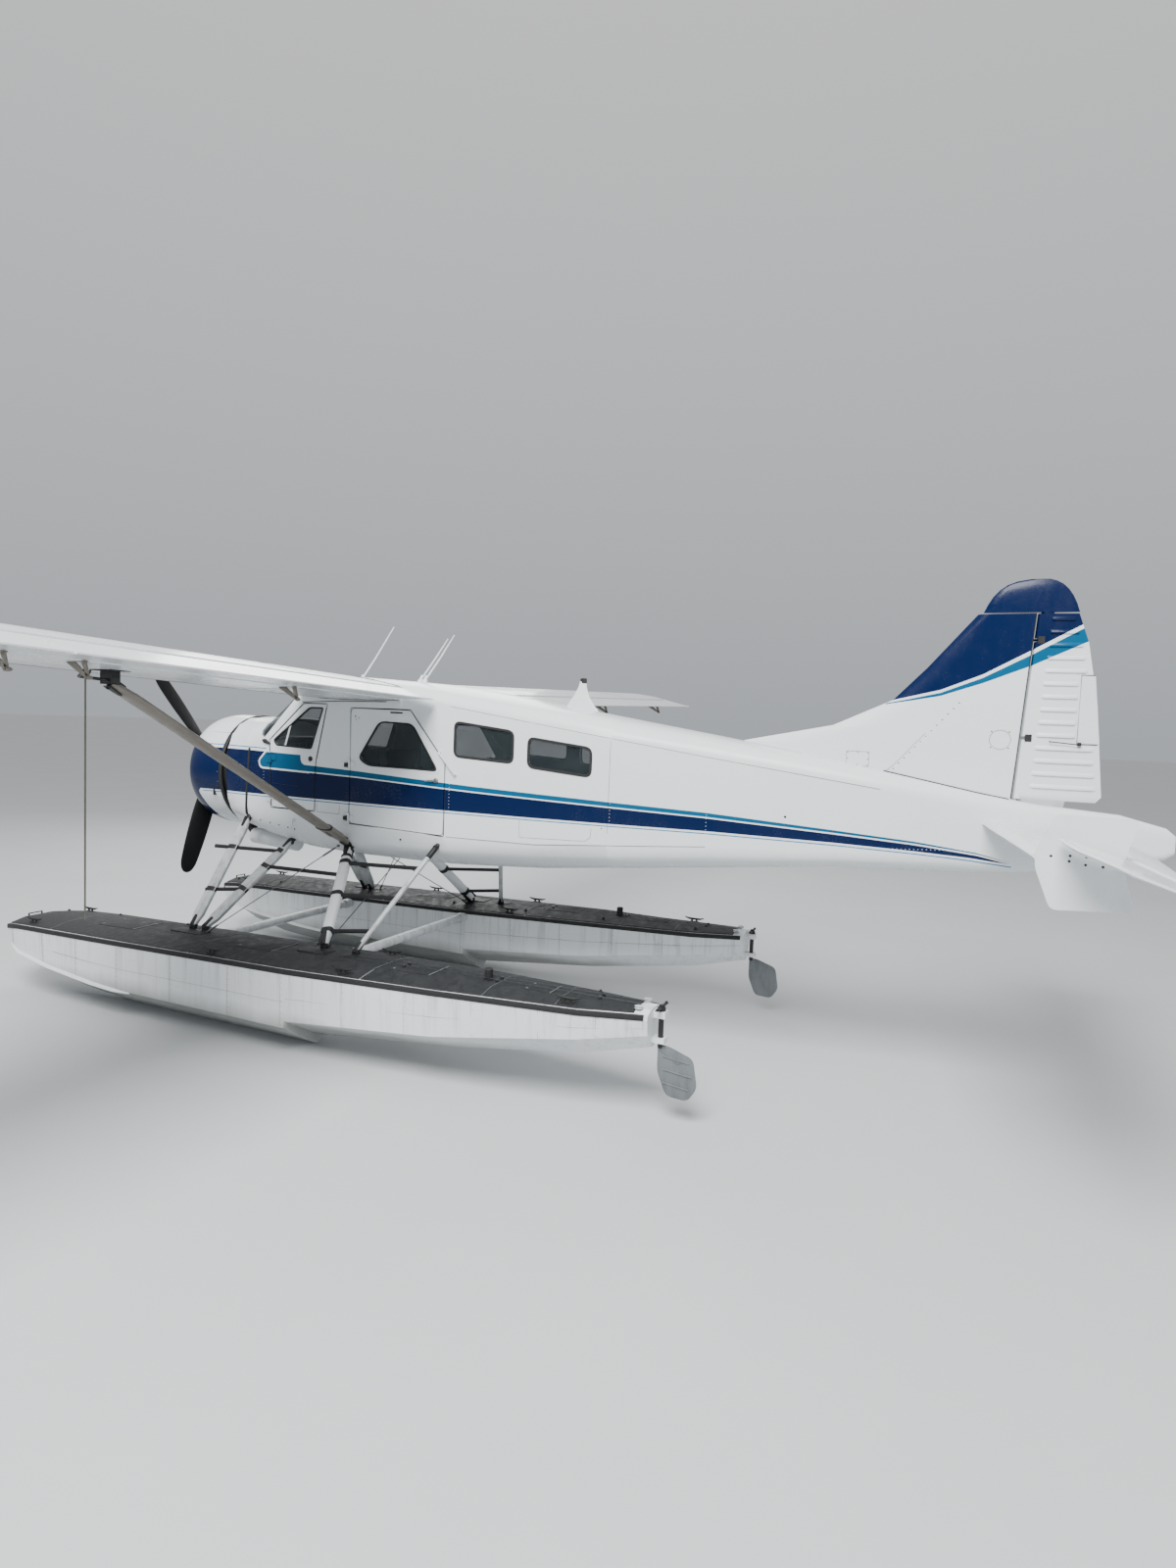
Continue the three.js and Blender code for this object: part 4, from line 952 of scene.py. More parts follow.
# White eye bolt on the nose with its bonding wire down to the second strut
eye = flank(1.706, 1.863)
wire = tube([eye + Vector((0.020, 0, 0)), eye + Vector((0.012, -0.004, -0.05)),
             flank(1.660, 1.760, 0.004), at(0.470, 1.575, 1.690)], 0.004, 8)
ring = lathe([(-0.004, 0), (-0.004, 0.026), (0.005, 0.026), (0.009, 0.015), (0.022, 0.013), (0.026, 0)],
             eye, LEFT, 20)
finish(both(join(ring, wire)), "nose_eye_bolts", plain_white)

# Small air hood ahead of the pilot's door
hood = bar(flank(1.292, 2.648), flank(1.385, 2.612, -0.002), 0.050, 0.045, 14, UP,
           [(0, 0.55), (0.25, 1), (1, 0.35)])
finish(both(hood), "nose_air_hoods", fitting_black)

# Aerials on the cabin roof: three raked whips and one blade with a black cap
whips = []
for x, foot_station, tip_station, tip_height in ((0.10, 2.108, 2.501, 3.849), (0.10, 2.840, 3.151, 3.728),
                                                 (0.16, 2.934, 3.263, 3.757)):
    foot = crest(foot_station, x, -0.004)
    tip = at(x, tip_station, tip_height)
    rise = (tip - foot).normalized()
    whips.append(lathe([(0, 0), (0, 0.034), (0.012, 0.032), (0.045, 0.014), (0.075, 0.009), (0.075, 0)],
                       foot, (rise * 0.55 + UP).normalized(), 20))
    whips.append(tube([foot + Vector((0, 0, 0.02)), foot + rise * 0.3, tip], 0, 10, [0.010, 0.0085, 0.0055]))
finish(join(*whips), "whip_aerials", plain_white)
rings = []
base = crest(4.58).z
for height, lead, length, half in ((-0.02, 4.40, 0.36, 0.012), (0.02, 4.43, 0.29, 0.016),
                                   (0.12, 4.50, 0.155, 0.014), (0.20, 4.545, 0.085, 0.012),
                                   (0.27, 4.565, 0.06, 0.010)):
    rings.append([at(half * math.sin(t), lead + length * (0.5 - 0.5 * math.cos(t)), base + height)
                  for t in angles(20)])
finish(loft(rings), "blade_aerial", plain_white)
middle = sum(rings[-1], Vector()) / len(rings[-1])
cap = loft([[middle + (p - middle) * grow + Vector((0, 0, shift)) for p in rings[-1]]
            for grow, shift in ((1.12, -0.035), (1.12, 0.008), (0.7, 0.014))])
finish(cap, "blade_aerial_cap", fitting_black)


# Fin and rudder surfaces, as tables by height
FIN = ((2.480, 6.050, 0.055), (2.860, 6.150, 0.055), (3.018, 6.892, 0.054), (3.237, 7.354, 0.052),
       (3.500, 7.600, 0.049), (3.915, 7.945, 0.042))
RUDDER_TRAIL = ((2.505, 8.836), (2.548, 8.872), (3.233, 8.803), (3.700, 8.715), (3.915, 8.640))


def rudder_axis(z):
    return 8.318 + (z - 2.490) * 0.0555


def rudder_nose(z):
    return 0.046 - (z - 2.505) * 0.00704


def fin_side(station, z, proud=0.0):
    lead, half = read(FIN, z)
    part = (station - lead) / (rudder_axis(z) - rudder_nose(z) - 0.007 - lead)
    share = read(((0, 0), (0.04, 0.35), (0.25, 0.9), (1, 0.95)), part)[0]
    return at(half * share + proud, station, z)


def rudder_side(station, z, proud=0.0):
    trail = read(RUDDER_TRAIL, z)[0]
    part = (station - rudder_axis(z)) / (trail - rudder_axis(z))
    return at(rudder_nose(z) + (0.005 - rudder_nose(z)) * part + proud, station, z)


def bead(surface, start, end, half=0.020, height=0.013):
    """A pressed stiffening bead between two ends; surface(part, shift, proud) gives its points."""
    rings = []
    for part, tall in ((0, 0.05), (0.03, 0.6), (0.07, 1), (0.93, 1), (0.97, 0.6), (1, 0.05)):
        s = start + (end - start) * part
        rings.append([surface(s, shift * half, rise * height * tall - 0.0025 * (rise == 0))
                      for shift, rise in ((-1, 0), (-0.75, 0.85), (-0.35, 1), (0.3, 0.6), (1, 0))])
    return loft(rings)


# Rudder: fourteen pressed beads a side, shorter beside the trim tab
beads = []
for i in range(14):
    z = 2.61 + 0.0975 * i
    end = 8.672 if 2.94 < z < 3.46 else read(RUDDER_TRAIL, z)[0] - 0.035
    beads.append(bead(lambda s, shift, proud, z=z: rudder_side(s, z + shift, proud),
                      rudder_axis(z) + 0.060, end))
finish(both(join(*beads)), "rudder_beads", striped, "rudder")

# Its trim tab with the slit round it, a rod and its horn, and the dark hinge covers
corners = [(8.690, 2.945), (8.834, 2.945), (8.777, 3.449), (8.690, 3.449)]
tab = loft([[rudder_side(s, z, proud) for s, z in corners] for proud in (-0.003, 0.003)])
soften(tab, 0.0012, 1)
# The slit round the tab is drawn as a black line, a painted shade in the gap
slit = seam([rudder_side(s, z, 0.002)
             for s, z in ((8.822, 2.938), (8.684, 2.938), (8.684, 3.455), (8.772, 3.455))], 0.0028)
rod = tube([rudder_side(8.500, 2.952), rudder_side(8.505, 2.950, 0.022), rudder_side(8.700, 2.934, 0.026)],
           0.004, 10)
horn = block(rudder_side(8.688, 2.926, -0.002), rudder_side(8.712, 2.952, 0.032), 0.002)
finish(both(tab), "rudder_trim_tab", plain_white, "rudder")
covers = [loft([[rudder_side(rudder_axis(z) + ds, z + dz, proud)
                 for ds, dz in ((-0.014, -0.028), (0.034, -0.028), (0.034, 0.028), (-0.014, 0.028))]
                for proud in (-0.004, 0.003)]) for z in (2.971, 3.716)]
covers = [soften(cover, 0.0015, 1) for cover in covers]
finish(both(join(*covers)), "rudder_hinge_covers", fitting_black, "rudder")
finish(join(rod, horn, slit), "rudder_trim_rod", fitting_black, "rudder")


def small_stud(s, z):
    return stud(fin_side(s, z), LEFT, 0.005, 0.002, 8)


# Fin: rivet row, panel seams, two inspection panels and the joint with the body
a, b = fin_side(7.853, 3.225), fin_side(7.355, 2.640)
rivets = row(stud(a, LEFT, 0.0055, 0.002, 8), 14, (b - a) / 13)
panel_at = fin_side(8.160, 2.950)
ring = lathe([(-0.001, 0.0735), (-0.001, 0.0765), (0.0012, 0.0765), (0.0012, 0.0735)], panel_at, LEFT, 48)
screws = [stud(panel_at + Vector((0.001, 0.088 * math.cos(t), 0.088 * math.sin(t))), LEFT, 0.0055, 0.002, 8)
          for t in (math.radians(45 + 90 * i) for i in range(4))]
corners = [(7.020, 2.690), (7.200, 2.690), (7.200, 2.810), (7.020, 2.810)]
dots = [small_stud(s, z) for s in (7.03, 7.11, 7.19) for z in (2.70, 2.80)]
dots += [small_stud(s, 2.75) for s in (7.03, 7.19)]
edges = [seam([fin_side(*corners[i - 1], 0.0005), fin_side(*corners[i], 0.0005)], 0.0012) for i in range(4)]
along_body = [7.32 + 0.93 * i / 12 for i in range(13)]
joint = seam([at(0.056, s, crest(s, 0.056).z + 0.002) for s in along_body], 0.0045)
rise = seam([fin_side(7.324, 2.650, 0.0005), fin_side(7.400, 2.720, 0.0005), fin_side(7.62, 2.98, 0.0005)],
            0.0014)
finish(both(join(rivets, ring, *screws, *dots, *edges, joint, rise)), "fin_seams_and_screws", fitting_black)
# A black line along the fin's rear edge: painted shade in the gap before the rudder
edge = seam([fin_side(rudder_axis(z) - rudder_nose(z) - 0.010, z) for z in (2.50, 3.20, 3.90)], 0.004)
finish(both(edge), "fin_gap_shade_line", fitting_black)

# Elevator beads, made level on the left half and then drooped with it about its hinge
HINGE_STATION, HINGE_HEIGHT = 8.760, 2.300
HINGE = at(0, HINGE_STATION, HINGE_HEIGHT)
DROOP = about(HINGE, Matrix.Rotation(math.radians(-19.5), 4, "X"))


def elevator_top(station, x, proud):
    thinning = (0.005 - 0.040) * (station - HINGE_STATION) / 0.505
    return at(x, station, HINGE_HEIGHT + 0.040 + thinning + proud)


upper = bead(lambda s, shift, proud: elevator_top(s, 0.250 + shift, proud), 8.815, 9.225)
row(upper, 19, (0.0925, 0, -0.0002))
lower = copy(upper, about(HINGE, Matrix.Diagonal((1, 1, -1, 1))))
beads = both(join(upper, lower))
beads.matrix_world = DROOP
settle(beads)
finish(beads, "elevator_beads", plain_white, "elevator")

# Bolts through the end plates
bolts = [stud(at(1.9993, s, z), LEFT, 0.0075, 0.003, 10)
         for s, z in ((8.424, 2.308), (8.519, 2.317), (8.516, 2.286), (8.599, 2.318), (8.597, 2.273),
                      (8.682, 2.270))]
finish(both(join(*bolts)), "end_plate_bolts", fitting_black)

# Tail light, and the small black fittings where the fin stands on the body
tail_lens = lathe([(-0.010, 0), (-0.010, 0.022), (0.010, 0.022), (0.024, 0.014), (0.029, 0)],
                  crest(9.290), UP, 24)
finish(tail_lens, "tail_light", glass)
clips = [block(at(0.060, 8.262, 2.418), at(0.100, 8.300, 2.436), 0.003),
         block(at(0.050, 8.330, 2.452), at(0.076, 8.40, 2.464), 0.003)]
finish(both(join(*clips)), "tail_clips", fitting_black)


def smooth(points, steps=6):
    """More points on a curve that passes through the given ones."""
    points = [Vector(p) for p in points]
    out = []
    for i in range(len(points) - 1):
        p0, p1, p2, p3 = (points[max(i - 1, 0)], points[i], points[i + 1],
                          points[min(i + 2, len(points) - 1)])
        for k in range(steps):
            t = k / steps
            out.append(0.5 * (2 * p1 + (p2 - p0) * t + (2 * p0 - 5 * p1 + 4 * p2 - p3) * t * t
                              + (3 * p1 - p0 - 3 * p2 + p3) * t ** 3))
    return out + [points[-1]]


COWL_HEIGHT, SHAFT_HEIGHT = 2.285, 2.335
COWL_CENTRE, SHAFT = at(0, 0, COWL_HEIGHT), at(0, 0, SHAFT_HEIGHT)
COWL_LIP = [(0.142, 0.490), (0.152, 0.520), (0.205, 0.562), (0.300, 0.594), (0.430, 0.608)]

# Cowl: one spun ring, enamelled outside and black within; its rear rim is also black, a painted shade for the
# cooling gap behind it
outer = smooth([(0.168, 0.500), (0.152, 0.468), *COWL_LIP, (0.690, 0.604)])
inner = smooth([(0.690, 0.596), (0.430, 0.598), (0.300, 0.584), (0.205, 0.552)], 4)
cowl = lathe([tuple(p) for p in outer + inner], COWL_CENTRE, AFT, 96)
finish(cowl, "cowl_ring", striped, "airframe", 40, ["cowl"])


# Faces inside the cowl aft of its lip, and its aft-facing rim, whose black is painted shade in the cooling
# gap
def within_cowl(middle, normal):
    spoke = middle - COWL_CENTRE
    spoke.y = 0
    inside = normal.dot(spoke) < 0 and middle.y > at(0, 0.19, 0).y
    return inside or middle.y > at(0, 0.685, 0).y and normal.y > 0.8


repaint(cowl, fitting_black, within_cowl)

# Seal behind the cowl, baffle and firewall's disc, all black: a painted shade that makes the cooling gap dark
seal = lathe([(0.662, 0.590), (0.662, 0.6060), (0.669, 0.6130), (0.697, 0.6140), (0.706, 0.6090),
              (0.706, 0.590)],
             COWL_CENTRE, AFT, 96)
baffle = lathe([(0.600, 0.500), (0.600, 0.574), (0.740, 0.577), (0.860, 0.572), (0.860, 0.500)],
               COWL_CENTRE, AFT, 64)
disc = lathe([(0.856, 0.150), (0.856, 0.568), (0.872, 0.568), (0.872, 0.150)], COWL_CENTRE, AFT, 48)
finish(join(baffle, disc, seal), "cooling_gap_painted_shade", fitting_black)


def on_cowl(station, z, proud=0.001):
    radius = read((*COWL_LIP, (0.690, 0.604)), station)[0]
    return at(math.sqrt(max((radius + proud) ** 2 - (z - COWL_HEIGHT) ** 2, 0)), station, z)


# Cowl seams, hooks and fasteners
lines = [seam([on_cowl(0.25 + 0.43 * i / 6, z - fall * i / 6) for i in range(7)], radius)
         for z, fall, radius in ((2.178, 0.055, 0.0018), (2.700, 0, 0.0015))]
hooks = [block(on_cowl(0.566, 2.030, -0.004), on_cowl(0.580, 2.100, 0.006) + Vector((0.002, 0, 0)), 0.002),
         block(on_cowl(0.31, 2.166, -0.004), on_cowl(0.36, 2.180, 0.006), 0.002),
         block(on_cowl(0.61, 2.128, -0.004), on_cowl(0.66, 2.142, 0.006), 0.002)]
finish(both(join(*lines, *hooks)), "cowl_seams_and_hooks", fitting_black)
first = stud(COWL_CENTRE + Vector((0, 0.642, 0.6050)), UP, 0.006, 0.002, 8)
studs = [copy(first, about(COWL_CENTRE, Matrix.Rotation(math.radians(10 * i), 4, "Y"))) for i in range(36)]
finish(join(first, *studs), "cowl_fasteners", cast_metal)

# Engine: crankcase and nose case in one turned shape
outline = smooth([(0.060, 0.060), (0.110, 0.074), (0.140, 0.150), (0.230, 0.215), (0.300, 0.262),
                  (0.610, 0.262), (0.650, 0.200)], 4)
case = lathe([(0.060, 0.0), *(tuple(p) for p in outline), (1.0497, 0.190), (1.0497, 0.0)], SHAFT, AFT, 64)
finish(case, "engine_case", cast_metal, "airframe", 40, ["engine"])

# Nine cylinders with seventeen fins each, rocker boxes and pushrod tubes, made once at the top
CYLINDERS, FINS, HEAD_FIN = 9, 17, 9
profile = [(0.240, 0.0), (0.240, 0.064)]
for i in range(FINS):
    r = 0.262 + 0.0125 * i
    wide = 0.078 if i < HEAD_FIN else 0.088
    profile += [(r, 0.064), (r, wide), (r + 0.003, wide), (r + 0.003, 0.064)]
profile += [(0.480, 0.062), (0.500, 0.050), (0.500, 0.0)]
UPWARD = SHAFT + Vector((0, 0.450, 0))
barrel = lathe(profile, UPWARD, UP, 28)
boxes, tubes = [], []
for shift in (-0.048, 0.048):
    boxes += [block(UPWARD + Vector((shift - 0.026, -0.070, 0.468)),
                    UPWARD + Vector((shift + 0.026, 0.050, 0.522)), 0.012, 3),
              stud(UPWARD + Vector((shift, -0.070, 0.494)), -AFT, 0.010, 0.004, 12)]
    tubes.append(tube([UPWARD + Vector((shift * 0.7, -0.130, 0.238)),
                       UPWARD + Vector((shift, -0.066, 0.470))],
                      0.011, 14))
for part, name, paint in ((barrel, "engine_cylinders", cast_metal),
                          (join(*boxes), "rocker_boxes", fitting_black),
                          (join(*tubes), "pushrod_tubes", wire_steel)):
    around = [copy(part, about(SHAFT, Matrix.Rotation(math.radians(360 * i / CYLINDERS), 4, "Y")))
              for i in range(1, CYLINDERS)]
    finish(join(part, *around), name, paint, "airframe", 40)
ring = [SHAFT + Vector((0.225 * math.sin(t), 0.235, 0.225 * math.cos(t))) for t in angles(48) + [0.0]]
finish(tube(ring, 0.012, 12), "ignition_harness_ring", wire_steel)

# Propeller: smooth twisted blades as [radius, width, thickness, pitch], with round tips
BLADE = ((0.070, 0.096, 0.090, 40), (0.160, 0.100, 0.084, 38), (0.240, 0.120, 0.074, 36),
         (0.480, 0.205, 0.034, 30), (0.820, 0.216, 0.022, 22), (1.120, 0.190, 0.015, 17),
         (1.215, 0.160, 0.012, 15.5), (1.262, 0.118, 0.010, 15), (1.285, 0.072, 0.008, 14.5),
         (1.295, 0.030, 0.006, 14))
rings = []
for radius, width, thick, pitch in smooth(BLADE, 4):
    twist = Matrix.Rotation(math.radians(pitch), 3, "Z")
    rings.append([SHAFT + twist @ Vector((math.cos(t) * width / 2, math.sin(t) * thick / 2, radius))
                  for t in angles(28)])
blade = loft(rings)
collar = lathe([(0.050, 0), (0.050, 0.058), (0.075, 0.064), (0.120, 0.064), (0.140, 0.056), (0.140, 0)],
               SHAFT, UP, 28)
bolts = [block(SHAFT + Vector((x, -0.014, 0.085)), SHAFT + Vector((x + 0.023, 0.014, 0.112)), 0.004)
         for x in (0.055, -0.078)]
clamp = join(collar, *bolts)
blades, clamps = [], []
for angle in (-70.6, 49.4, 169.4):
    spin = about(SHAFT, Matrix.Rotation(math.radians(90 - angle), 4, "Y"))
    blades.append(copy(blade, spin))
    clamps.append(copy(clamp, spin))
pick(blade, clamp)
bpy.ops.object.delete()
finish(join(*blades), "propeller_blades", blade_black, "propeller", 40, ["propeller"])

# Its clamped hub, with a round nose
nose = smooth([(-0.150, 0.012), (-0.140, 0.045), (-0.110, 0.078), (-0.030, 0.082)], 4)
hub = lathe([(-0.150, 0), *(tuple(p) for p in nose), (-0.026, 0.118), (0.040, 0.118), (0.0597, 0.070),
             (0.0597, 0)], SHAFT, AFT, 48)
finish(join(hub, *clamps), "propeller_hub", cast_metal, "propeller", 35)

# Exhaust pipe that drops from the cowl into its fairing
pipe = tube([at(0.290, s, z) for s, z in
             ((0.760, 1.740), (0.810, 1.700), (0.860, 1.650), (0.900, 1.612), (0.960, 1.592))], 0.048, 24)
clamp_band = lathe([(-0.014, 0.040), (-0.014, 0.052), (0.014, 0.052), (0.014, 0.040)],
                   at(0.290, 0.880, 1.632), (0, 0.72, -0.69), 28)
finish(join(pipe, clamp_band), "exhaust_pipe", fitting_black)


# Struts and stays, each replacing the plain CAD bar it is fitted to
DECK_FRONT, DECK_SECOND = at(1.410, 1.110, 0.700), at(1.410, 1.185, 0.700)
DECK_REAR, DECK_BRACE = at(1.400, 2.744, 0.720), at(1.400, 3.015, 0.720)
TOP_FRONT, TOP_SECOND = at(0.585, 1.080, 1.850), at(0.435, 1.570, 1.655)
TOP_REAR, TOP_BRACE = at(0.520, 2.345, 1.650), at(0.565, 3.441, 1.790)


def strut_frame(a, b):
    """Ways along a strut, broad across it fore and aft, and square to both."""
    along = (b - a).normalized()
    broad = (AFT - along * AFT.dot(along)).normalized()
    return along, broad, along.cross(broad)


def strut(a, b, wide, thin, taper=0.13, low=0.42, power=0.62):
    """A streamlined bar with squared flanks whose width narrows towards both fittings."""
    broad, thick = strut_frame(a, b)[1:]
    share = taper / (b - a).length
    rings = []
    for part, scale in ((0, low), (share * 0.5, (1 + low) / 2 - 0.04), (share, 1), (1 - share, 1),
                        (1 - share * 0.5, (1 + low) / 2 - 0.04), (1, low)):
        middle = a.lerp(b, part)
        ring = []
        for c, s in ((math.cos(t), math.sin(t)) for t in angles(20)):
            ring.append(middle + broad * (wide / 2 * scale * math.copysign(abs(c) ** power, c))
                        + thick * (thin / 2 * math.copysign(abs(s) ** power, s)))
        rings.append(ring)
    return loft(rings)


def cuff(a, b, start, end, wide, thin, grow=0.004):
    """A sleeve round a strut between two lengths from its start."""
    length = (b - a).length
    return strut(a.lerp(b, start / length), a.lerp(b, end / length), wide + grow, thin + grow, 0.001, 0.98)


def bolt(place, axis, radius=0.011, length=0.075):
    """A hexagon bolt through a fitting: head, shank and nut."""
    half = length / 2
    shank = lathe(pin_outline(-half, half, radius * 0.6), place, axis, 12)
    head = lathe([(half - 0.001, 0), (half - 0.001, radius), (half + 0.007, radius), (half + 0.008, 0)],
                 place, axis, 6)
    nut = lathe(pin_outline(-half - 0.009, -half + 0.001, radius), place, axis, 6)
    return join(shank, head, nut)


def fork(foot, tip, reach, wide, thick, gap):
    """Two cheek plates that carry a strut's end from its fitting, with their bolt."""
    along, broad, across = strut_frame(foot, tip)
    across = across.normalized()
    cheeks = []
    for way in (-1, 1):
        base = foot + across * (way * gap / 2)
        outline = rounded([base - broad * wide / 2 - along * 0.02, base + broad * wide / 2 - along * 0.02,
                           base + broad * wide * 0.28 + along * reach,
                           base - broad * wide * 0.28 + along * reach], 0.018, 4)
        cheeks.append(plate(outline, across * way * thick, 0.0015))
    return join(*cheeks, bolt(foot, across, 0.011, gap + 2 * thick + 0.006))


def rung(first, second, start, end, past, high=0.036, deep=0.030):
    """A flat tread from one strut, past it by a length, to another, at parts of their lengths."""
    p, q = first[0].lerp(first[1], start), second[0].lerp(second[1], end)
    p = p + (p - q).normalized() * past
    along = (q - p).normalized()
    upright = (UP - along * along.z).normalized()
    out = along.cross(upright)
    corners = [upright * high / 2 + out * deep / 2, upright * high / 2 - out * deep / 2,
               -upright * high / 2 - out * deep / 2, -upright * high / 2 + out * deep / 2]
    rings = [[p + along * t + c for c in rounded(corners, 0.007, 2)] for t in (0, (q - p).length)]
    return soften(loft(rings), 0.002, 1, 50)


FRONT, SECOND = (TOP_FRONT, DECK_FRONT), (TOP_SECOND, DECK_SECOND)
REAR, BRACE = (TOP_REAR, DECK_REAR), (TOP_BRACE, DECK_BRACE)


def shown(pair, start, end):
    """The stretch of a strut that is seen, between parts of its length from fitting to deck."""
    a, b = pair
    return a.lerp(b, start), a.lerp(b, end)


FRONT_SEEN, SECOND_SEEN = shown(FRONT, 0.03, 0.890), shown(SECOND, 0.05, 0.872)
REAR_SEEN, BRACE_SEEN = shown(REAR, 0.04, 0.862), shown(BRACE, 0.05, 0.882)
planks = [strut(*ends, 0.120, 0.044, 0.12, 0.42, 0.35) for ends in (FRONT_SEEN, SECOND_SEEN)]
finish(both(join(*planks)), "front_struts", strut_silver,
       nodes=["front_float_struts_left", "front_float_struts_right"])
rear_strut = strut(*REAR_SEEN, 0.106, 0.086, 0.16, 0.50, 0.7)
finish(both(rear_strut), "rear_struts", plain_white,
       nodes=["rear_float_struts_left", "rear_float_struts_right"])
brace = strut(*BRACE_SEEN, 0.046, 0.042, 0.08, 0.6, 0.8)
finish(both(brace), "rear_braces", strut_silver)

# Rungs as [first strut, second strut, part of the first, part of the second, length past the first]
RUNGS = ((FRONT, SECOND, 0.27, 0.15, 0.18), (FRONT, SECOND, 0.61, 0.52, 0.06),
         (SECOND, REAR, 0.30, 0.28, 0.0), (REAR, BRACE, 0.17, 0.23, 0.07),
         (REAR, BRACE, 0.45, 0.47, 0.07), (REAR, BRACE, 0.755, 0.73, 0.07))
treads = [rung(*line) for line in RUNGS]
finish(both(join(*treads)), "ladder_rungs", fitting_black)

# Cuffs, rung brackets, forks and bolts
fittings = []
for a, b in (FRONT_SEEN, SECOND_SEEN):
    fittings += [fork(a, b, 0.10, 0.048, 0.006, 0.048), fork(b, a, 0.11, 0.054, 0.006, 0.048)]
for part, (a, b), wide in ((0.27, FRONT, 0.120), (0.15, SECOND, 0.110), (0.61, FRONT, 0.120),
                           (0.52, SECOND, 0.120), (0.30, SECOND, 0.120)):
    middle = (b - a).length * part
    fittings.append(cuff(a, b, middle - 0.024, middle + 0.024, wide, 0.050, 0.003))
for part in (0.17, 0.45, 0.755):
    middle = (DECK_REAR - TOP_REAR).length * part
    fittings.append(cuff(*REAR, middle - 0.022, middle + 0.022, 0.108, 0.088))
fittings += [cuff(*REAR_SEEN, 0.09, 0.115, 0.098, 0.088),
             fork(*REAR_SEEN[::-1], 0.13, 0.078, 0.007, 0.088),
             fork(*REAR_SEEN, 0.10, 0.070, 0.007, 0.088),
             cuff(*BRACE_SEEN, 0.0, 0.13, 0.044, 0.040),
             fork(*BRACE_SEEN[::-1], 0.09, 0.040, 0.005, 0.046)]
finish(both(join(*fittings)), "strut_fittings", fitting_black)

# Lugs on the body that the struts' heads bolt to
pads = []
for (top, foot), wide in ((FRONT_SEEN, 0.060), (SECOND_SEEN, 0.080), (REAR_SEEN, 0.100), (BRACE_SEEN, 0.050)):
    away = (top - foot).normalized()
    pads += [bar(top - away * 0.020, top + away * 0.110, wide, 0.034, 20),
             lathe(pin_outline(-0.028, 0.028, 0.022), top, LEFT, 20)]
finish(both(join(*pads)), "body_strut_lugs", fitting_black)

# Shoes on the deck under the struts
shoes = []
for station, length, wide, z in ((1.150, 0.380, 0.150, 0.780), (2.690, 0.300, 0.170, 0.806),
                                 (3.065, 0.160, 0.110, 0.811)):
    shoes.append(block(at(1.385 - wide / 2, station - length / 2, z - 0.004),
                       at(1.385 + wide / 2, station + length / 2, z + 0.018), 0.007))
for _, foot in (FRONT_SEEN, SECOND_SEEN, REAR_SEEN, BRACE_SEEN):
    shoes.append(block(foot - Vector((0.020, 0.034, 0.060)), foot + Vector((0.020, 0.034, 0.016)), 0.010, 3))
finish(both(join(*shoes)), "deck_shoes", fitting_black)

# Spreader bars between the floats, with flanged ends
SPREADER_END = 1.0035
for name, station, z in (("front", 1.134, 0.664), ("rear", 2.744, 0.690)):
    beam = strut(at(-SPREADER_END, station, z), at(SPREADER_END, station, z), 0.106, 0.086, 0.010, 0.98, 0.9)
    finish(beam, "spreader_tube_" + name, strut_silver, nodes=["spreader_" + name])
    collars = [cuff(at(way * 0.880, station, z), at(way * SPREADER_END, station, z), 0.0, 0.1215, 0.116,
                    0.096)
               for way in (-1, 1)]
    finish(join(*collars), "spreader_collars_" + name, strut_silver)

# Wing strut with its sleeve, band, drain slot and end fittings
WING_FOOT, WING_HEAD = at(0.505, 2.352, 1.640), at(3.360, 2.570, 3.093)
foot = WING_FOOT.lerp(WING_HEAD, 0.03)
main = strut(foot, WING_HEAD, 0.172, 0.056, 0.19, 0.36, 0.9)
finish(both(main), "wing_struts", strut_grey, nodes=["wing_strut_left", "wing_strut_right"])
sleeve = cuff(WING_FOOT, WING_HEAD, 0.30, 0.50, 0.172, 0.056, 0.005)
finish(both(sleeve), "wing_strut_sleeves", strut_grey)
collar = cuff(WING_FOOT, WING_HEAD, 0.50, 0.522, 0.176, 0.060, 0.006)
along = (WING_HEAD - WING_FOOT).normalized()
flat = (AFT - along * along.y).normalized()
face = flat.cross(along)
middle = WING_FOOT + along * 0.40 + face * 0.0315
corners = [middle + along * (way * 0.055) + flat * (lean * 0.010)
           for way, lean in ((-1, -1), (1, -1), (1, 1), (-1, 1))]
slot_cover = plate(rounded(corners, 0.009, 4), face * 0.0015)
ends = [fork(foot, WING_HEAD, 0.10, 0.060, 0.007, 0.060), fork(WING_HEAD, WING_FOOT, 0.12, 0.066, 0.007,
                                                               0.062),
        bar(foot + along * 0.02, foot - along * 0.11, 0.070, 0.040, 20)]
finish(both(join(collar, slot_cover, *ends)), "wing_strut_fittings", fitting_black)


def stay(a, b):
    """A stay of laid wire with a turnbuckle and an eye at each end."""
    way = (b - a).normalized()
    parts = [tube([a, b], 0.0047, 10)]
    half = Vector((0.012, 0.012, 0.012))
    for end, inward in ((a, way), (b, -way)):
        parts += [lathe([(0.03, 0), (0.03, 0.0085), (0.06, 0.010), (0.15, 0.010), (0.18, 0.0085), (0.18, 0)],
                        end, inward, 14),
                  block(end - half, end + half, 0.004)]
    return join(*parts)


side_stay = stay(at(0.558, 2.229, 1.631), at(1.382, 1.283, 0.760))
cross_stay = stay(at(-0.440, 2.503, 1.660), at(1.278, 2.638, 0.772))
finish(both(side_stay), "side_stays", wire_steel,
       nodes=["side_stay_left", "side_stay_right"])
other = copy(cross_stay, Matrix.Translation((0, 0.030, 0)) @ MIRROR)
finish(join(cross_stay, other), "cross_stays", wire_steel,
       nodes=["cross_stay_left", "cross_stay_right"])


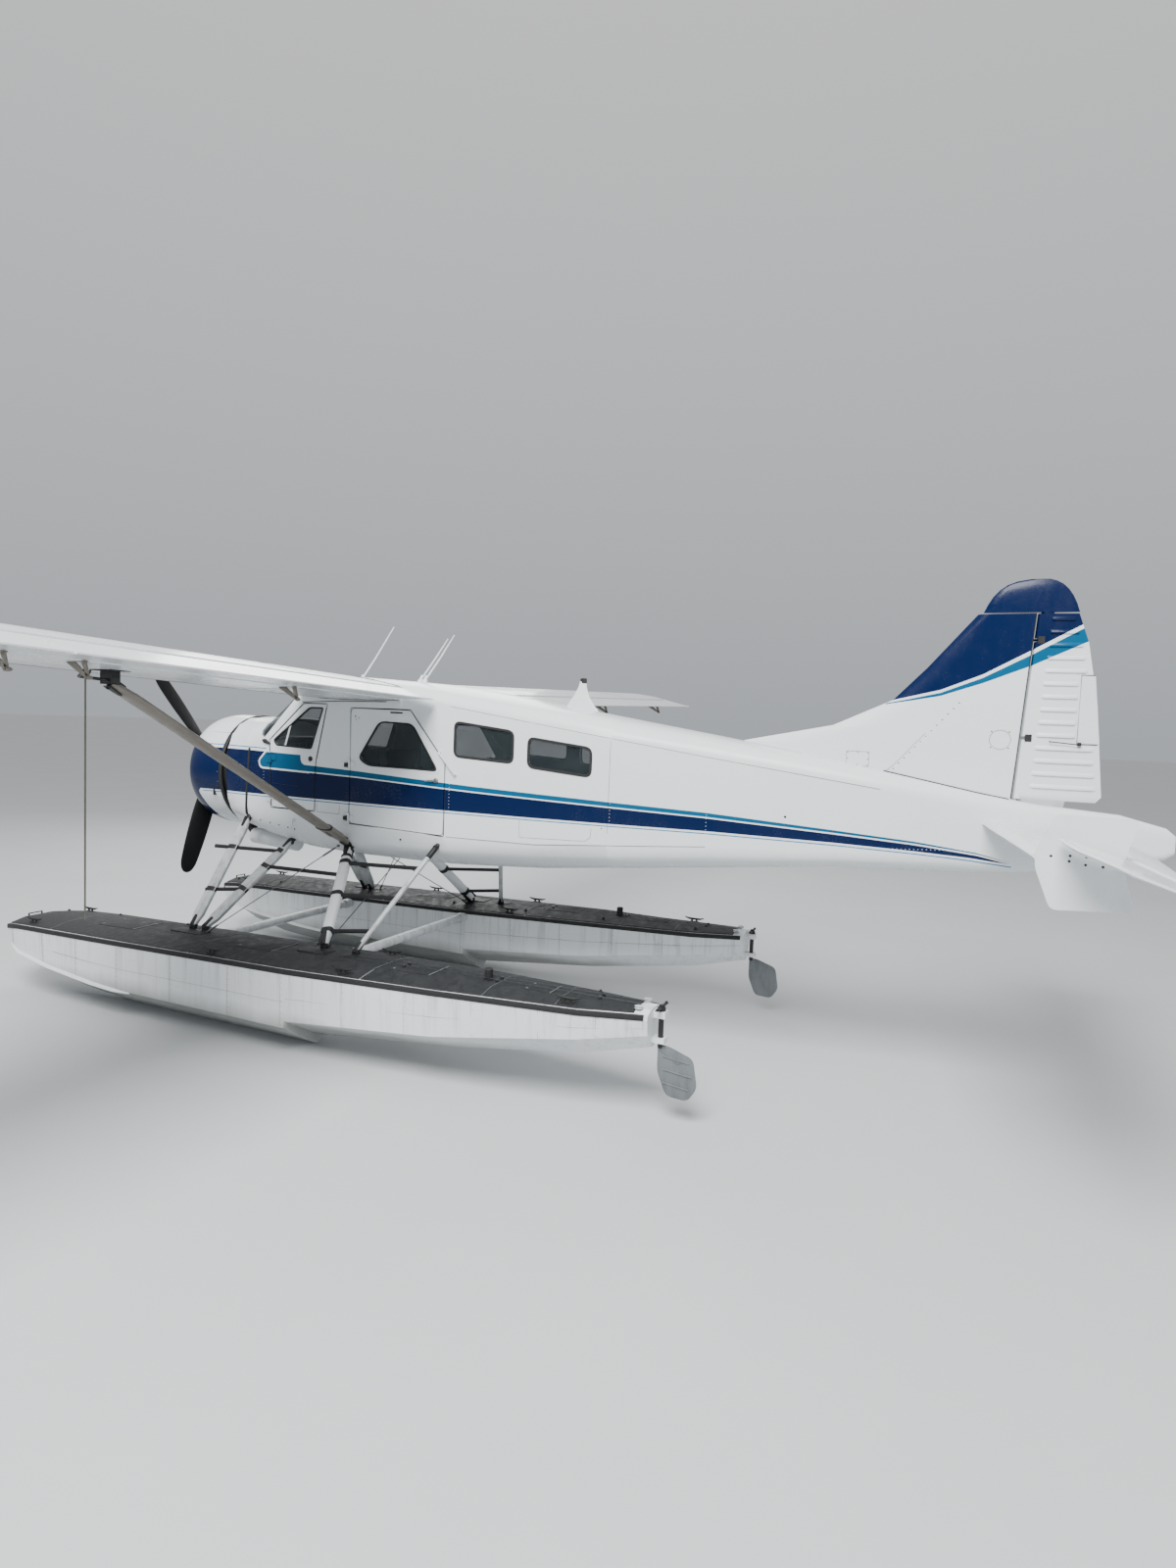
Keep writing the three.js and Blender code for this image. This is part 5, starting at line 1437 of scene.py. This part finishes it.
# Floats: (station, half deck, half chine, crest, deck edge, chine) of the left one, and its middle
TRACK = 1.430
FLOAT = ((-1.180, 0.070, 0.060, 0.575, 0.560, 0.520), (-1.130, 0.205, 0.190, 0.642, 0.612, 0.500),
         (-1.000, 0.330, 0.310, 0.694, 0.655, 0.465), (-0.740, 0.400, 0.380, 0.728, 0.688, 0.420),
         (-0.250, 0.425, 0.415, 0.750, 0.704, 0.350), (0.400, 0.432, 0.430, 0.765, 0.716, 0.285),
         (0.700, 0.434, 0.432, 0.772, 0.722, 0.268), (2.760, 0.434, 0.432, 0.805, 0.762, 0.262),
         (2.762, 0.434, 0.425, 0.805, 0.762, 0.318), (4.200, 0.385, 0.370, 0.838, 0.800, 0.430),
         (5.400, 0.265, 0.245, 0.850, 0.815, 0.590), (5.930, 0.160, 0.140, 0.860, 0.832, 0.680))
BEHIND_STEP = 2.762
STATIONS = [line[0] for line in FLOAT if line[0] != BEHIND_STEP]
BOTH_WAYS = (-1, 1)


def deck(station, x, proud=0.0):
    """A point on the left float's deck, x metres outboard of its middle."""
    half, _, crown, edge, _ = read(FLOAT, station)
    flat, rim = 0.45 * half, half - 0.008
    fall = max(abs(x) - flat, 0) / (rim - flat)
    return at(TRACK + x, station, crown + (edge - crown) * fall + proud)


def wall(station, down, way, proud=0.0):
    """A point on the float's side from under the gunwale at 0 to the chine at 1."""
    half, chine_half, _, edge, chine = read(FLOAT, station)
    x = TRACK + way * (half + (chine_half - half) * down + proud)
    return at(x, station, edge - 0.034 + (chine - edge + 0.034) * down)


def spans(first, last):
    """Stations from first to last, with the float's own sections between them."""
    return [first] + [s for s in STATIONS if first < s < last] + [last]


def across_deck(half):
    """Distances from a deck's middle to its four bends, just inside its edges."""
    return [-(half - 0.030), -0.45 * half, 0.45 * half, half - 0.030]


# Non-skid mat over the deck, in four lengths with narrow joints
mats = []
for first, last in ((-1.120, -0.260), (-0.248, 1.600), (1.612, 3.500), (3.512, 5.820)):
    rings = []
    for s in spans(first, last):
        across = across_deck(read(FLOAT, s)[0])
        rings.append([deck(s, x, 0.008) for x in across] + [deck(s, x, -0.004) for x in across[::-1]])
    mats.append(soften(loft(rings), 0.003, 1, 40))
finish(both(join(*mats)), "float_deck_mats", deck_black)

# Rubber rail along both gunwales, thicker round the bow
rails = []
for way in BOTH_WAYS:
    rings = []
    for s in spans(-1.176, 5.900):
        half, _, _, edge, _ = read(FLOAT, s)
        grow = 0.007 + 0.013 * max(0, min(1, (-0.95 - s) / 0.2))
        tall = 0.5 + grow * 30
        outline = ((-0.006, -0.052), (grow * 0.7, -0.050), (grow, -0.040), (grow, -0.006),
                   (grow * 0.6, 0.006),
                   (-0.020, 0.006))
        rings.append([at(TRACK + way * (half + x), s, edge + z * tall) for x, z in outline])
    rails.append(loft(rings))
finish(both(join(*rails)), "float_rub_rails", rubber, angle=40)

# Spray rails at the chines
rails = []
for way in BOTH_WAYS:
    rings = []
    for s in spans(-0.980, 0.900):
        _, chine_half, _, _, chine = read(FLOAT, s)
        out = 0.032 * min(1, (s + 1.0) / 0.25, (0.93 - s) / 0.25)
        rings.append([at(TRACK + way * (chine_half + x), s, chine + z)
                      for x, z in ((-0.006, 0.012), (out, -0.010), (out, -0.014), (-0.010, -0.010))])
    rails.append(loft(rings))
finish(both(join(*rails)), "float_spray_rails", plain_white)

# Rivets and frame seams on deck and sides
rows, lines = [], []
for a, b in ((-0.20, 0.39), (0.42, 1.58), (1.63, 2.75), (2.78, 3.49), (3.53, 4.18), (4.22, 5.38),
             (5.42, 5.80)):
    for way in BOTH_WAYS:
        count = round((b - a) / 0.055)
        start, end = (deck(s, way * (read(FLOAT, s)[0] - 0.020), 0.0005) for s in (a, b))
        rows.append(row(stud(start, UP, 0.0035, 0.0016, 6), count, (end - start) / (count - 1)))
for s in (-0.90, -0.35, 0.15, 0.72, 1.42, 2.12, 2.72, 3.35, 3.95, 4.55, 5.10, 5.55):
    for way in BOTH_WAYS:
        lines.append(seam([wall(s, down, way, 0.0002) for down in (0.03, 0.98)], 0.0014))
        top, foot = wall(s + 0.016, 0.06, way), wall(s + 0.016, 0.95, way)
        count = round((top - foot).length / 0.045)
        rows.append(row(stud(top, LEFT * way, 0.0035, 0.0014, 6), count, (foot - top) / (count - 1)))
for way in BOTH_WAYS:
    for first, last in ((-0.2, 2.75), (2.77, 5.9)):
        lines.append(seam([wall(s, 0.52, way, 0.0002) for s in spans(first, last)], 0.0012))
finish(both(join(*rows)), "float_rivets", cast_metal)
finish(both(join(*lines)), "float_seams", strut_grey)

# Deck hatches as [start, end, half width, corner], with a hinge line and two screws each
HATCHES = ((0.12, 0.62, 0.17, 0.03), (1.92, 2.36, 0.17, 0.03), (3.62, 4.02, 0.15, 0.03),
           (4.86, 5.10, 0.10, 0.02))


def lid(start, end, half, radius):
    """A flush hatch lid on the deck's flat middle."""
    corners = [at(TRACK + x, s, deck(s, 0).z + 0.0075)
               for x, s in ((-half, start), (half, start), (half, end), (-half, end))]
    return plate(rounded(corners, radius, 4), (0, 0, 0.004), 0.0012)


lids = [lid(*hatch) for hatch in HATCHES]
finish(both(join(*lids)), "float_hatches", deck_black)
trims = []
for s in (-0.254, 1.606, 3.506, 4.62, 5.22):
    trims.append(seam([deck(s, x, 0.0085) for x in across_deck(read(FLOAT, s)[0])], 0.0022))
for start, end, half, _ in HATCHES:
    trims.append(seam([deck(end + 0.006, x, 0.012) for x in (-half, half)], 0.005, 8))
    for k in (-0.7, 0.7):
        trims.append(stud(deck(start + 0.03, half * k, 0.011), UP, 0.011, 0.003, 12))
finish(both(join(*trims)), "float_deck_trim", dull_metal)

# Mooring cleats, pump-out plugs and a vent post
cleats = []
for s, x in ((-0.62, 0.31), (1.86, 0.36), (3.30, 0.34), (5.30, 0.19), (-0.62, -0.31), (3.30, -0.34)):
    foot = deck(s, x, 0.007)
    cleats.append(block(foot + Vector((-0.016, -0.050, -0.004)), foot + Vector((0.016, 0.050, 0.008)), 0.004))
    cleats += [lathe([(0.0, 0), (0.0, 0.011), (0.034, 0.009), (0.034, 0)], foot + Vector((0, d, 0)), UP, 14)
               for d in (-0.026, 0.026)]
    horns = ((-0.105, 0.047), (-0.060, 0.036), (0, 0.034), (0.060, 0.036), (0.105, 0.047))
    cleats.append(tube([foot + Vector((0, d, h)) for d, h in horns], 0.010, 12,
                       [0.005, 0.010, 0.011, 0.010, 0.005]))
finish(both(join(*cleats)), "mooring_cleats", fitting_black)
plugs = []
for s in (-0.85, -0.10, 0.86, 2.52, 3.46, 4.40, 5.42):
    x = -(read(FLOAT, s)[0] * 0.62)
    plugs.append(lathe([(-0.004, 0), (-0.004, 0.020), (0.002, 0.020), (0.004, 0.014), (0.012, 0.013),
                        (0.020, 0.008), (0.022, 0)], deck(s, x, 0.008), UP, 18))
post = lathe([(0.0, 0), (0.0, 0.042), (0.008, 0.042), (0.010, 0.034), (0.082, 0.034), (0.090, 0.028),
              (0.092, 0)],
             deck(4.500, 0.0, 0.007), UP, 28)
finish(both(join(*plugs, post)), "pump_out_plugs", rubber)

# Bar handles at the bows
BOW = -1.06
handle = tube([deck(BOW, -0.07, -0.002), deck(BOW, -0.07, 0.040), deck(BOW, 0.07, 0.040),
               deck(BOW, 0.07, -0.002)],
              0.009, 12)
finish(both(handle), "bow_handles", fitting_black)

# Water rudders: rounded blades with ribs and a strap, on their posts with tillers and eyes
STERN = 5.985
POST = at(TRACK, STERN, 0)
blade_loop = rounded([at(TRACK - 0.0055, s, z) for s, z in
                      ((5.968, 0.582), (6.045, 0.582), (6.243, 0.516), (6.282, 0.300), (6.213, 0.193),
                       (6.045, 0.203), (5.968, 0.384))], 0.045, 5)
rudder_blade = plate(blade_loop, (0.011, 0, 0), 0.002)
ribs = [tube([at(TRACK + 0.0050, 6.01, z), at(TRACK + 0.0065, 6.03, z), at(TRACK + 0.0065, reach, z - 0.02),
              at(TRACK + 0.0050, reach + 0.02, z - 0.022)], 0.006, 8)
        for z, reach in ((0.500, 6.20), (0.400, 6.22), (0.300, 6.20))]
spindle = lathe(pin_outline(0.560, 0.884, 0.0200), POST, UP, 32)
ring = lathe([(0.8425, 0.019), (0.8425, 0.031), (0.866, 0.031), (0.866, 0.019)], POST, UP, 28)
tiller = block(at(TRACK - 0.120, STERN - 0.014, 0.8650), at(TRACK + 0.120, STERN + 0.014, 0.8730), 0.003)
eyes = [lathe(pin_outline(0.872, 0.883, 0.009), at(TRACK + x, STERN, 0), UP, 12) for x in (-0.105, 0.105)]
strap = plate([at(TRACK + 0.0065, s, z) for s, z in
               ((STERN, 0.575), (6.020, 0.575), (6.150, 0.470), (6.135, 0.455), (STERN, 0.540))],
              (0.003, 0, 0), 0.001)
for part, name, paint in ((join(rudder_blade, *ribs, strap), "water_rudder_blade", dull_metal),
                          (join(spindle, ring, tiller, *eyes), "water_rudder_post", fitting_black)):
    twin = copy(part, MIRROR)
    for half, word in ((part, "left"), (twin, "right")):
        body = "water_rudder_" + word
        finish(half, f"{name}_{word}", paint, body, nodes=[body])

# Steering cables along the decks, their fairleads and the stern pulleys
gear = []
for x in (-0.040, 0.040):
    gear.append(tube([deck(s, x, h) for s, h in
                      ((3.16, 0.020), (3.70, 0.028), (4.60, 0.030), (5.50, 0.026), (5.84, 0.022))], 0.0028,
                     8))
    gear += [block(deck(s, x, 0.002) - Vector((0.009, 0.012, 0)), deck(s, x, 0.034)
                   + Vector((0.009, 0.012, 0)),
                   0.004) for s in (3.70, 4.60, 5.50)]
finish(both(join(*gear)), "rudder_cables", wire_steel)
wheels = []
for x in (-0.100, 0.100):
    wheels += [lathe([(-0.008, 0.006), (-0.008, 0.032), (-0.003, 0.026), (0.003, 0.026), (0.008, 0.032),
                      (0.008, 0.006)], deck(5.840, x, 0.020), UP, 24),
               stud(deck(5.840, x), UP, 0.009, 0.036, 12)]
finish(both(join(*wheels)), "stern_pulleys", strut_silver)


# The wing's leading edge, chord, height at the middle, camber, thickness, dihedral and incidence
LEAD, CHORD, ROOT_HEIGHT = 1.802, 1.590, 3.094
CAMBER, CAMBER_PLACE, THICKNESS = 0.03, 0.4, 0.145
DIHEDRAL, INCIDENCE = math.tan(math.radians(1.79)), math.tan(math.radians(2.5))


def wing(x, part, way, proud=0.0):
    """A point on the wing x metres out, at a part of the chord, above for 1 or below for -1."""
    rise = 0.8 * part - part * part
    if part < CAMBER_PLACE:
        camber = CAMBER / 0.16 * rise
    else:
        camber = CAMBER / 0.36 * (0.2 + rise)
    half = 5 * THICKNESS * (0.2969 * math.sqrt(part) - 0.126 * part - 0.3516 * part ** 2
                            + 0.2843 * part ** 3 - 0.1015 * part ** 4)
    z = ROOT_HEIGHT + (1 - part) * CHORD * INCIDENCE + CHORD * (camber + way * half)
    return at(x, LEAD + part * CHORD, z + x * DIHEDRAL + way * proud)


# Chordwise skin joints round the leading edge
lines = []
for x in (1.90, 5.30, 6.975):
    path = [wing(x, part, 1, 0.0002) for part in (0.74, 0.6, 0.4, 0.25, 0.12, 0.04)]
    path.append(wing(x, 0, 1) - Vector((0, 0.0004, 0)))
    path += [wing(x, part, -1, 0.0002) for part in (0.04, 0.15, 0.35, 0.55, 0.74)]
    lines.append(seam(path, 0.0014))
for way, part in ((1, 0.12), (-1, 0.15)):
    lines.append(seam([wing(x, part, way, 0.0002) for x in (0.70, 6.97)], 0.0022))
finish(both(join(*lines)), "wing_skin_joints", dull_metal)

# The struts' lugs under the wings are black steel
under = wing(3.36, 0.483, -1)
lug_aft = at(0, 2.570, 0).y
for name in ("wing_left_skin", "wing_right_skin"):
    repaint(bpy.data.objects[name], fitting_black, lambda middle, normal: (
        abs(abs(middle.x) - 3.360) < 0.037 and abs(middle.y - lug_aft) < 0.057 and middle.z < under.z
                                                                           - 0.003))

# Round inspection covers with four screws each, on the wing's underside
covers = []
for x, part in ((1.55, 0.30), (2.60, 0.30), (4.20, 0.30), (5.70, 0.30), (2.60, 0.55), (5.00, 0.55)):
    middle = wing(x, part, -1)
    covers.append(lathe([(-0.004, 0), (-0.004, 0.062), (0.0012, 0.062), (0.002, 0.059), (0.002, 0)],
                        middle, -UP, 32))
    for t in angles(4):
        screw_at = middle + Vector((0.050 * math.cos(t), 0.050 * math.sin(t), -0.001))
        covers.append(stud(screw_at, -UP, 0.004, 0.0022, 8))
finish(both(join(*covers)), "wing_inspection_covers", plain_white)


def bracket_arm(foot, apex, wide_foot, wide_apex=0.026, thick=0.008):
    """A flat arm of a hinge bracket, upright and fore and aft."""
    along = (apex - foot).normalized()
    broad = Vector((0, along.z, -along.y))
    corners = [foot - broad * wide_foot / 2, apex - broad * wide_apex / 2 + along * 0.012,
               apex + broad * wide_apex / 2 + along * 0.012, foot + broad * wide_foot / 2]
    return plate([c - Vector((thick / 2, 0, 0)) for c in rounded(corners, 0.008, 3)], (thick, 0, 0), 0.001)


# V-shaped brackets that carry flaps and ailerons below the wing
brackets = []
for x in (2.05, 3.86, 4.35, 6.62):
    drop = wing(x, 0.75, -1)
    apex = drop + Vector((0, 0.030, -0.098))
    brackets += [bracket_arm(drop + Vector((0, -0.150, 0.012)), apex, 0.050),
                 bracket_arm(drop + Vector((0, -0.012, 0.012)), apex, 0.044),
                 lathe(pin_outline(-0.016, 0.016, 0.013), apex, LEFT, 18),
                 bolt(apex, LEFT, 0.008, 0.034),
                 block(drop + Vector((-0.020, -0.190, -0.004)), drop + Vector((0.020, 0.006, 0.006)), 0.002)]
finish(both(join(*brackets)), "hinge_brackets", strut_grey)

# Plates round the wing struts' heads, a push rod beside each, and the ring that the rope hangs from
pads = [block(under - Vector((0.075, 0.110, 0.004)), under + Vector((0.075, 0.110, 0.006)), 0.003),
        tube([at(3.400, 2.600, 3.110), at(3.640, 2.640, 3.122), at(3.860, 2.995, 3.148)], 0.011, 12)]
hook = tube([at(3.543, s, z) for s, z in
             ((2.52, 3.165), (2.545, 3.128), (2.57, 3.112), (2.595, 3.128), (2.62, 3.165))], 0.007, 10)
finish(both(join(*pads, hook)), "strut_head_fittings", fitting_black)

# Tip lights, red on the left and green on the right
for way, name, paint in ((1, "tip_light_left", red_lens), (-1, "tip_light_right", green_lens)):
    tip = wing(7.270, 0.02, 1)
    middle = Vector((way * 7.262, tip.y + 0.020, tip.z - 0.010))
    bulge = lathe([(-0.040, 0), (-0.034, 0.014), (-0.010, 0.026), (0.020, 0.028), (0.050, 0.018), (0.070, 0)],
                  middle, AFT, 24)
    finish(bulge, name, paint)


def nose_point(x, part, way):
    """A point on the landing light's cover, which follows the leading edge."""
    return wing(x, part, way, 0.002) - Vector((0, 0.002, 0))


# Landing light in the left leading edge, and the pitot tube below it
edge = [(0.05, 1), (0.02, 1), (0.006, 1), (0.0, 1), (0.006, -1), (0.02, -1), (0.05, -1)]
rings = []
for x in (4.90, 5.12):
    outer = [nose_point(x, *place) for place in edge]
    rings.append(outer + [p + Vector((0, 0.005, 0)) for p in outer[::-1]])
finish(soften(loft(rings), 0.001, 1), "landing_light_cover", glass)
LIGHT_SIDES = (4.893, 5.127)
frame_ring = [seam([nose_point(x, *place) for place in edge], 0.004, 8) for x in LIGHT_SIDES]
frame_ring += [seam([nose_point(x, 0.052, way) for x in LIGHT_SIDES], 0.004, 8) for way in (1, -1)]
finish(join(*frame_ring), "landing_light_frame", cast_metal)
bulb = lathe([(0.010, 0), (0.000, 0.030), (0.020, 0.034), (0.024, 0)],
             wing(5.010, 0.0, 1) - Vector((0, 0.004, 0)), AFT, 28)
finish(bulb, "landing_lamp", cast_metal)
root = wing(5.60, 0.10, -1)
pitot = tube([root + Vector((0, y, z)) for y, z in
              ((0.02, 0.010), (0.01, -0.10), (-0.03, -0.135), (-0.32, -0.140))],
             0.009, 16, [0.013, 0.012, 0.010, 0.008])
finish(pitot, "pitot_tube", wire_steel)

# Rubber strips where wing and roof meet
strips = [seam([wing(0.640, part, way, 0.002) for part in (0.02, 0.06, 0.15, 0.35, 0.55, 0.74)], 0.0035, 8)
          for way in (1, -1)]
finish(both(join(*strips)), "wing_root_seals", rubber)


# Cabin: padded seats on their frames, panel, column, pedals, floor mat and lining
FLOOR = 1.850
PRESSURE, LAST_FRAME = 4, 20


def cushion(low, high, round_off, voxel, swell, channels):
    """A stuffed cushion: a soft block blown up as cloth, held in along its sewn channels."""
    piece = block(low, high, round_off, 4)
    modify(piece, "REMESH", mode="VOXEL", voxel_size=voxel)
    before = [v.co.copy() for v in piece.data.vertices]
    cloth = piece.modifiers.new("stuffing", "CLOTH")
    cloth.settings.use_pressure = True
    cloth.settings.uniform_pressure_force = PRESSURE
    cloth.settings.quality = 4
    cloth.settings.effector_weights.gravity = 0
    cloth.point_cache.frame_start, cloth.point_cache.frame_end = 1, LAST_FRAME
    for frame_number in range(1, LAST_FRAME + 1):
        bpy.context.scene.frame_set(frame_number)
    pick(piece)
    bpy.ops.object.modifier_apply(modifier=cloth.name)
    bpy.context.scene.frame_set(1)
    for vertex, start in zip(piece.data.vertices, before):
        move = vertex.co - start
        near = min(abs(start.x - x) for x in channels)
        limit = swell * (0.15 + 0.85 * min(1, near / 0.045))
        if move.length > limit:
            move *= limit / move.length
        vertex.co = start + move
    return modify(piece, "SUBSURF", levels=1, render_levels=1)


def piping(low, high, z):
    """A sewn welt round a cushion's lower edge."""
    low, high = low - Vector((0.004, 0.004, 0)), high + Vector((0.004, 0.004, 0))
    loop = rounded([(low.x, low.y, z), (high.x, low.y, z), (high.x, high.y, z), (low.x, high.y, z)], 0.035)
    return tube(loop + [loop[0]], 0.005, 8)


RECLINE = about(at(0.3, 2.36, 2.19), Matrix.Rotation(math.radians(9), 4, "X"))


def leaned(piece):
    """Leans a seat's back piece aft about the seat's rear edge."""
    piece.matrix_world = RECLINE
    return settle(piece)


# Pilots' seats, each with two sewn channels
seat_low, seat_high = at(0.094, 2.004, 2.104), at(0.506, 2.376, 2.166)
seat = cushion(seat_low, seat_high, 0.026, 0.008, 0.012, (0.20, 0.40))
back = leaned(cushion(at(0.094, 2.330, 2.200), at(0.506, 2.392, 2.610), 0.028, 0.008, 0.011, (0.20, 0.40)))
welt = piping(seat_low, seat_high, 2.120)
for piece, name in ((seat, "pilot_seat_cushion"), (back, "pilot_seat_back")):
    twin = copy(piece, MIRROR)
    for half, word in ((piece, "left"), (twin, "right")):
        finish(half, f"{name}_{word}", vinyl, angle=60, nodes=["pilot_seat_" + word])
frames = [block(at(0.088, 1.998, 2.078), at(0.512, 2.384, 2.098), 0.006),
          leaned(block(at(0.090, 2.396, 2.120), at(0.510, 2.410, 2.600), 0.006))]
for x in (0.150, 0.450):
    frames += [tube([at(x, 2.070, 2.085), at(x, 2.045, 1.868)], 0.012, 14),
               tube([at(x, 2.330, 2.085), at(x, 2.355, 1.868)], 0.012, 14),
               block(at(x - 0.014, 1.990, 1.856), at(x + 0.014, 2.400, 1.872), 0.003)]
finish(both(join(*frames, welt)), "pilot_seat_frames", moulded)
belts = [tube([at(x, 2.395, 2.10), at(x, 2.340, 2.188), at(x + inward * 0.4, 2.250, 2.196),
               at(x + inward, 2.180, 2.192)], 0.008, 8) for x, inward in ((0.110, 0.12), (0.490, -0.12))]
buckle = block(at(0.270, 2.160, 2.186), at(0.330, 2.205, 2.202), 0.005)
finish(both(join(*belts, buckle)), "lap_belts", rubber)

# Bench: three places sewn into one cushion and one back
bench_low, bench_high = at(-0.526, 3.314, 2.066), at(0.526, 3.690, 2.156)
bench = cushion(bench_low, bench_high, 0.034, 0.012, 0.016, (-0.18, 0.18))
rest = cushion(at(-0.526, 3.694, 2.080), at(0.526, 3.766, 2.596), 0.030, 0.012, 0.013, (-0.18, 0.18))
for piece, name in ((bench, "bench_cushion"), (rest, "bench_back")):
    finish(piece, name, vinyl, angle=60, nodes=["bench_seat"])
box = [block(at(-0.480, 3.350, 1.856), at(0.480, 3.690, 2.050), 0.010),
       block(at(-0.538, 3.306, 2.046), at(0.538, 3.776, 2.062), 0.004)]
finish(join(*box, piping(bench_low, bench_high, 2.086)), "bench_frame", moulded)

# Instrument panel on its stand, under its hood
board = loft([[at(x, s, z) for x, z in ((-0.545, 2.302), (0.545, 2.302), (0.562, 2.560), (0.500, 2.662),
                                        (-0.500, 2.662), (-0.562, 2.560))] for s in (1.501, 1.524)])
soften(board, 0.003)
hood = loft([[at(x, s, z) for x, z in ((-0.540, 2.664), (0.540, 2.664), (0.500, 2.694), (-0.500, 2.694))]
             for s in (1.330, 1.600)])
soften(hood, 0.012, 3)
stand = block(at(-0.118, 1.404, 1.854), at(0.118, 1.523, 2.300), 0.012)
finish(join(board, stand), "instrument_board", moulded, nodes=["instrument_panel"])
finish(hood, "panel_hood", vinyl)

# Dials in three rows, then four radios with two knobs each between them
DIALS = ((2.590, 0.040, (-0.45, -0.35, -0.25, -0.12, 0.0, 0.12, 0.25, 0.35, 0.45)),
         (2.490, 0.040, (-0.45, -0.35, -0.25, 0.25, 0.35, 0.45)),
         (2.395, 0.028, (-0.42, -0.34, -0.26, 0.26, 0.34, 0.42)))
RADIOS = (2.335, 2.384, 2.433, 2.482)
bezels, faces, needles = [], [], []
for z, r, line in DIALS:
    for x in line:
        place = at(x, 1.5245, z)
        bezels.append(lathe([(0, r * 0.82), (0, r), (0.005, r * 0.98), (0.007, r * 0.86), (0.004, r * 0.82)],
                            place, AFT, 28))
        faces.append(lathe(pin_outline(0.0005, 0.0020, r * 0.83), place, AFT, 20))
        needles.append(block(place + Vector((-0.0012, 0.0022, -0.2 * r)),
                             place + Vector((0.0012, 0.0034, 0.66 * r))))
radios = [block(at(-0.090, 1.524, z), at(0.090, 1.534, z + 0.042), 0.003) for z in RADIOS]
knobs = [stud(at(x, 1.534, z + 0.021), AFT, 0.008, 0.014, 14) for z in RADIOS for x in (-0.075, 0.075)]
finish(join(*bezels, *radios), "dial_bezels", fitting_black)
finish(join(*faces), "dial_faces", deck_black)
finish(join(*needles, *knobs), "dial_needles", plain_white)

# Three engine levers on top of the panel
levers = []
for x, length in ((-0.045, 0.11), (0.0, 0.12), (0.045, 0.10)):
    root = at(x, 1.520, 2.700)
    tip = root + Vector((0, length, 0.035))
    levers += [tube([root, root + Vector((0, 0.05, 0.03)), tip], 0.005, 10),
               lathe([(-0.014, 0), (-0.012, 0.012), (0.0, 0.016), (0.012, 0.012), (0.014, 0)], tip, LEFT, 18)]
finish(join(*levers), "engine_levers", fitting_black)

# Control column that throws over to the left seat, with its wheel and hub, and the pedals
WHEEL_X, WHEEL_HEIGHT = 0.300, 2.385


def on_rim(t):
    return at(WHEEL_X + 0.150 * math.cos(t), 1.785, WHEEL_HEIGHT + 0.135 * math.sin(t))


column = [tube([at(0.0, 1.640, 1.853), at(0.0, 1.700, 2.250), at(0.0, 1.720, 2.330), at(0.060, 1.724, 2.350),
                at(WHEEL_X, 1.735, WHEEL_HEIGHT)], 0.020, 18),
          stud(at(WHEEL_X, 1.700, WHEEL_HEIGHT), AFT, 0.040, 0.070, 28),
          tube([on_rim(math.radians(140 + 260 * i / 26)) for i in range(27)], 0.013, 14)]
for t in (math.radians(140), math.radians(40), math.radians(270)):
    column.append(tube([at(WHEEL_X, 1.770, WHEEL_HEIGHT), on_rim(t)], 0.010, 12))
finish(join(*column), "control_column", fitting_black)
pedals = []
for x in (0.200, 0.360):
    pedals += [tube([at(x, 1.420, 1.862), at(x, 1.400, 2.000)], 0.010, 12),
               block(at(x - 0.040, 1.385, 1.975), at(x + 0.040, 1.400, 2.065), 0.006)]
finish(both(join(*pedals)), "rudder_pedals", cast_metal)

# Floor mat, and grey lining on the faces of cabin and doors that look into the cabin
rings = []
for s in (1.100, 1.500, 2.200, 2.900, 3.600, 4.000):
    half = min(0.560, flank(s, FLOOR, -0.040).x)
    rings.append([at(x, s, FLOOR + z) for x, z in
                  ((-half, 0.0006), (half, 0.0006), (half, 0.0040), (-half, 0.0040))])
finish(loft(rings), "cabin_floor_mat", rubber)
CABIN_MIDDLE = 2.45


def looks_in(middle, normal):
    return normal.dot(Vector((middle.x, 0, middle.z - CABIN_MIDDLE)).normalized()) < -0.05


for name in ("cabin", "pilot_door_left", "pilot_door_right", "cabin_door_left", "cabin_door_right"):
    repaint(bpy.data.objects[name + "_skin"], lining, looks_in)
deselect()
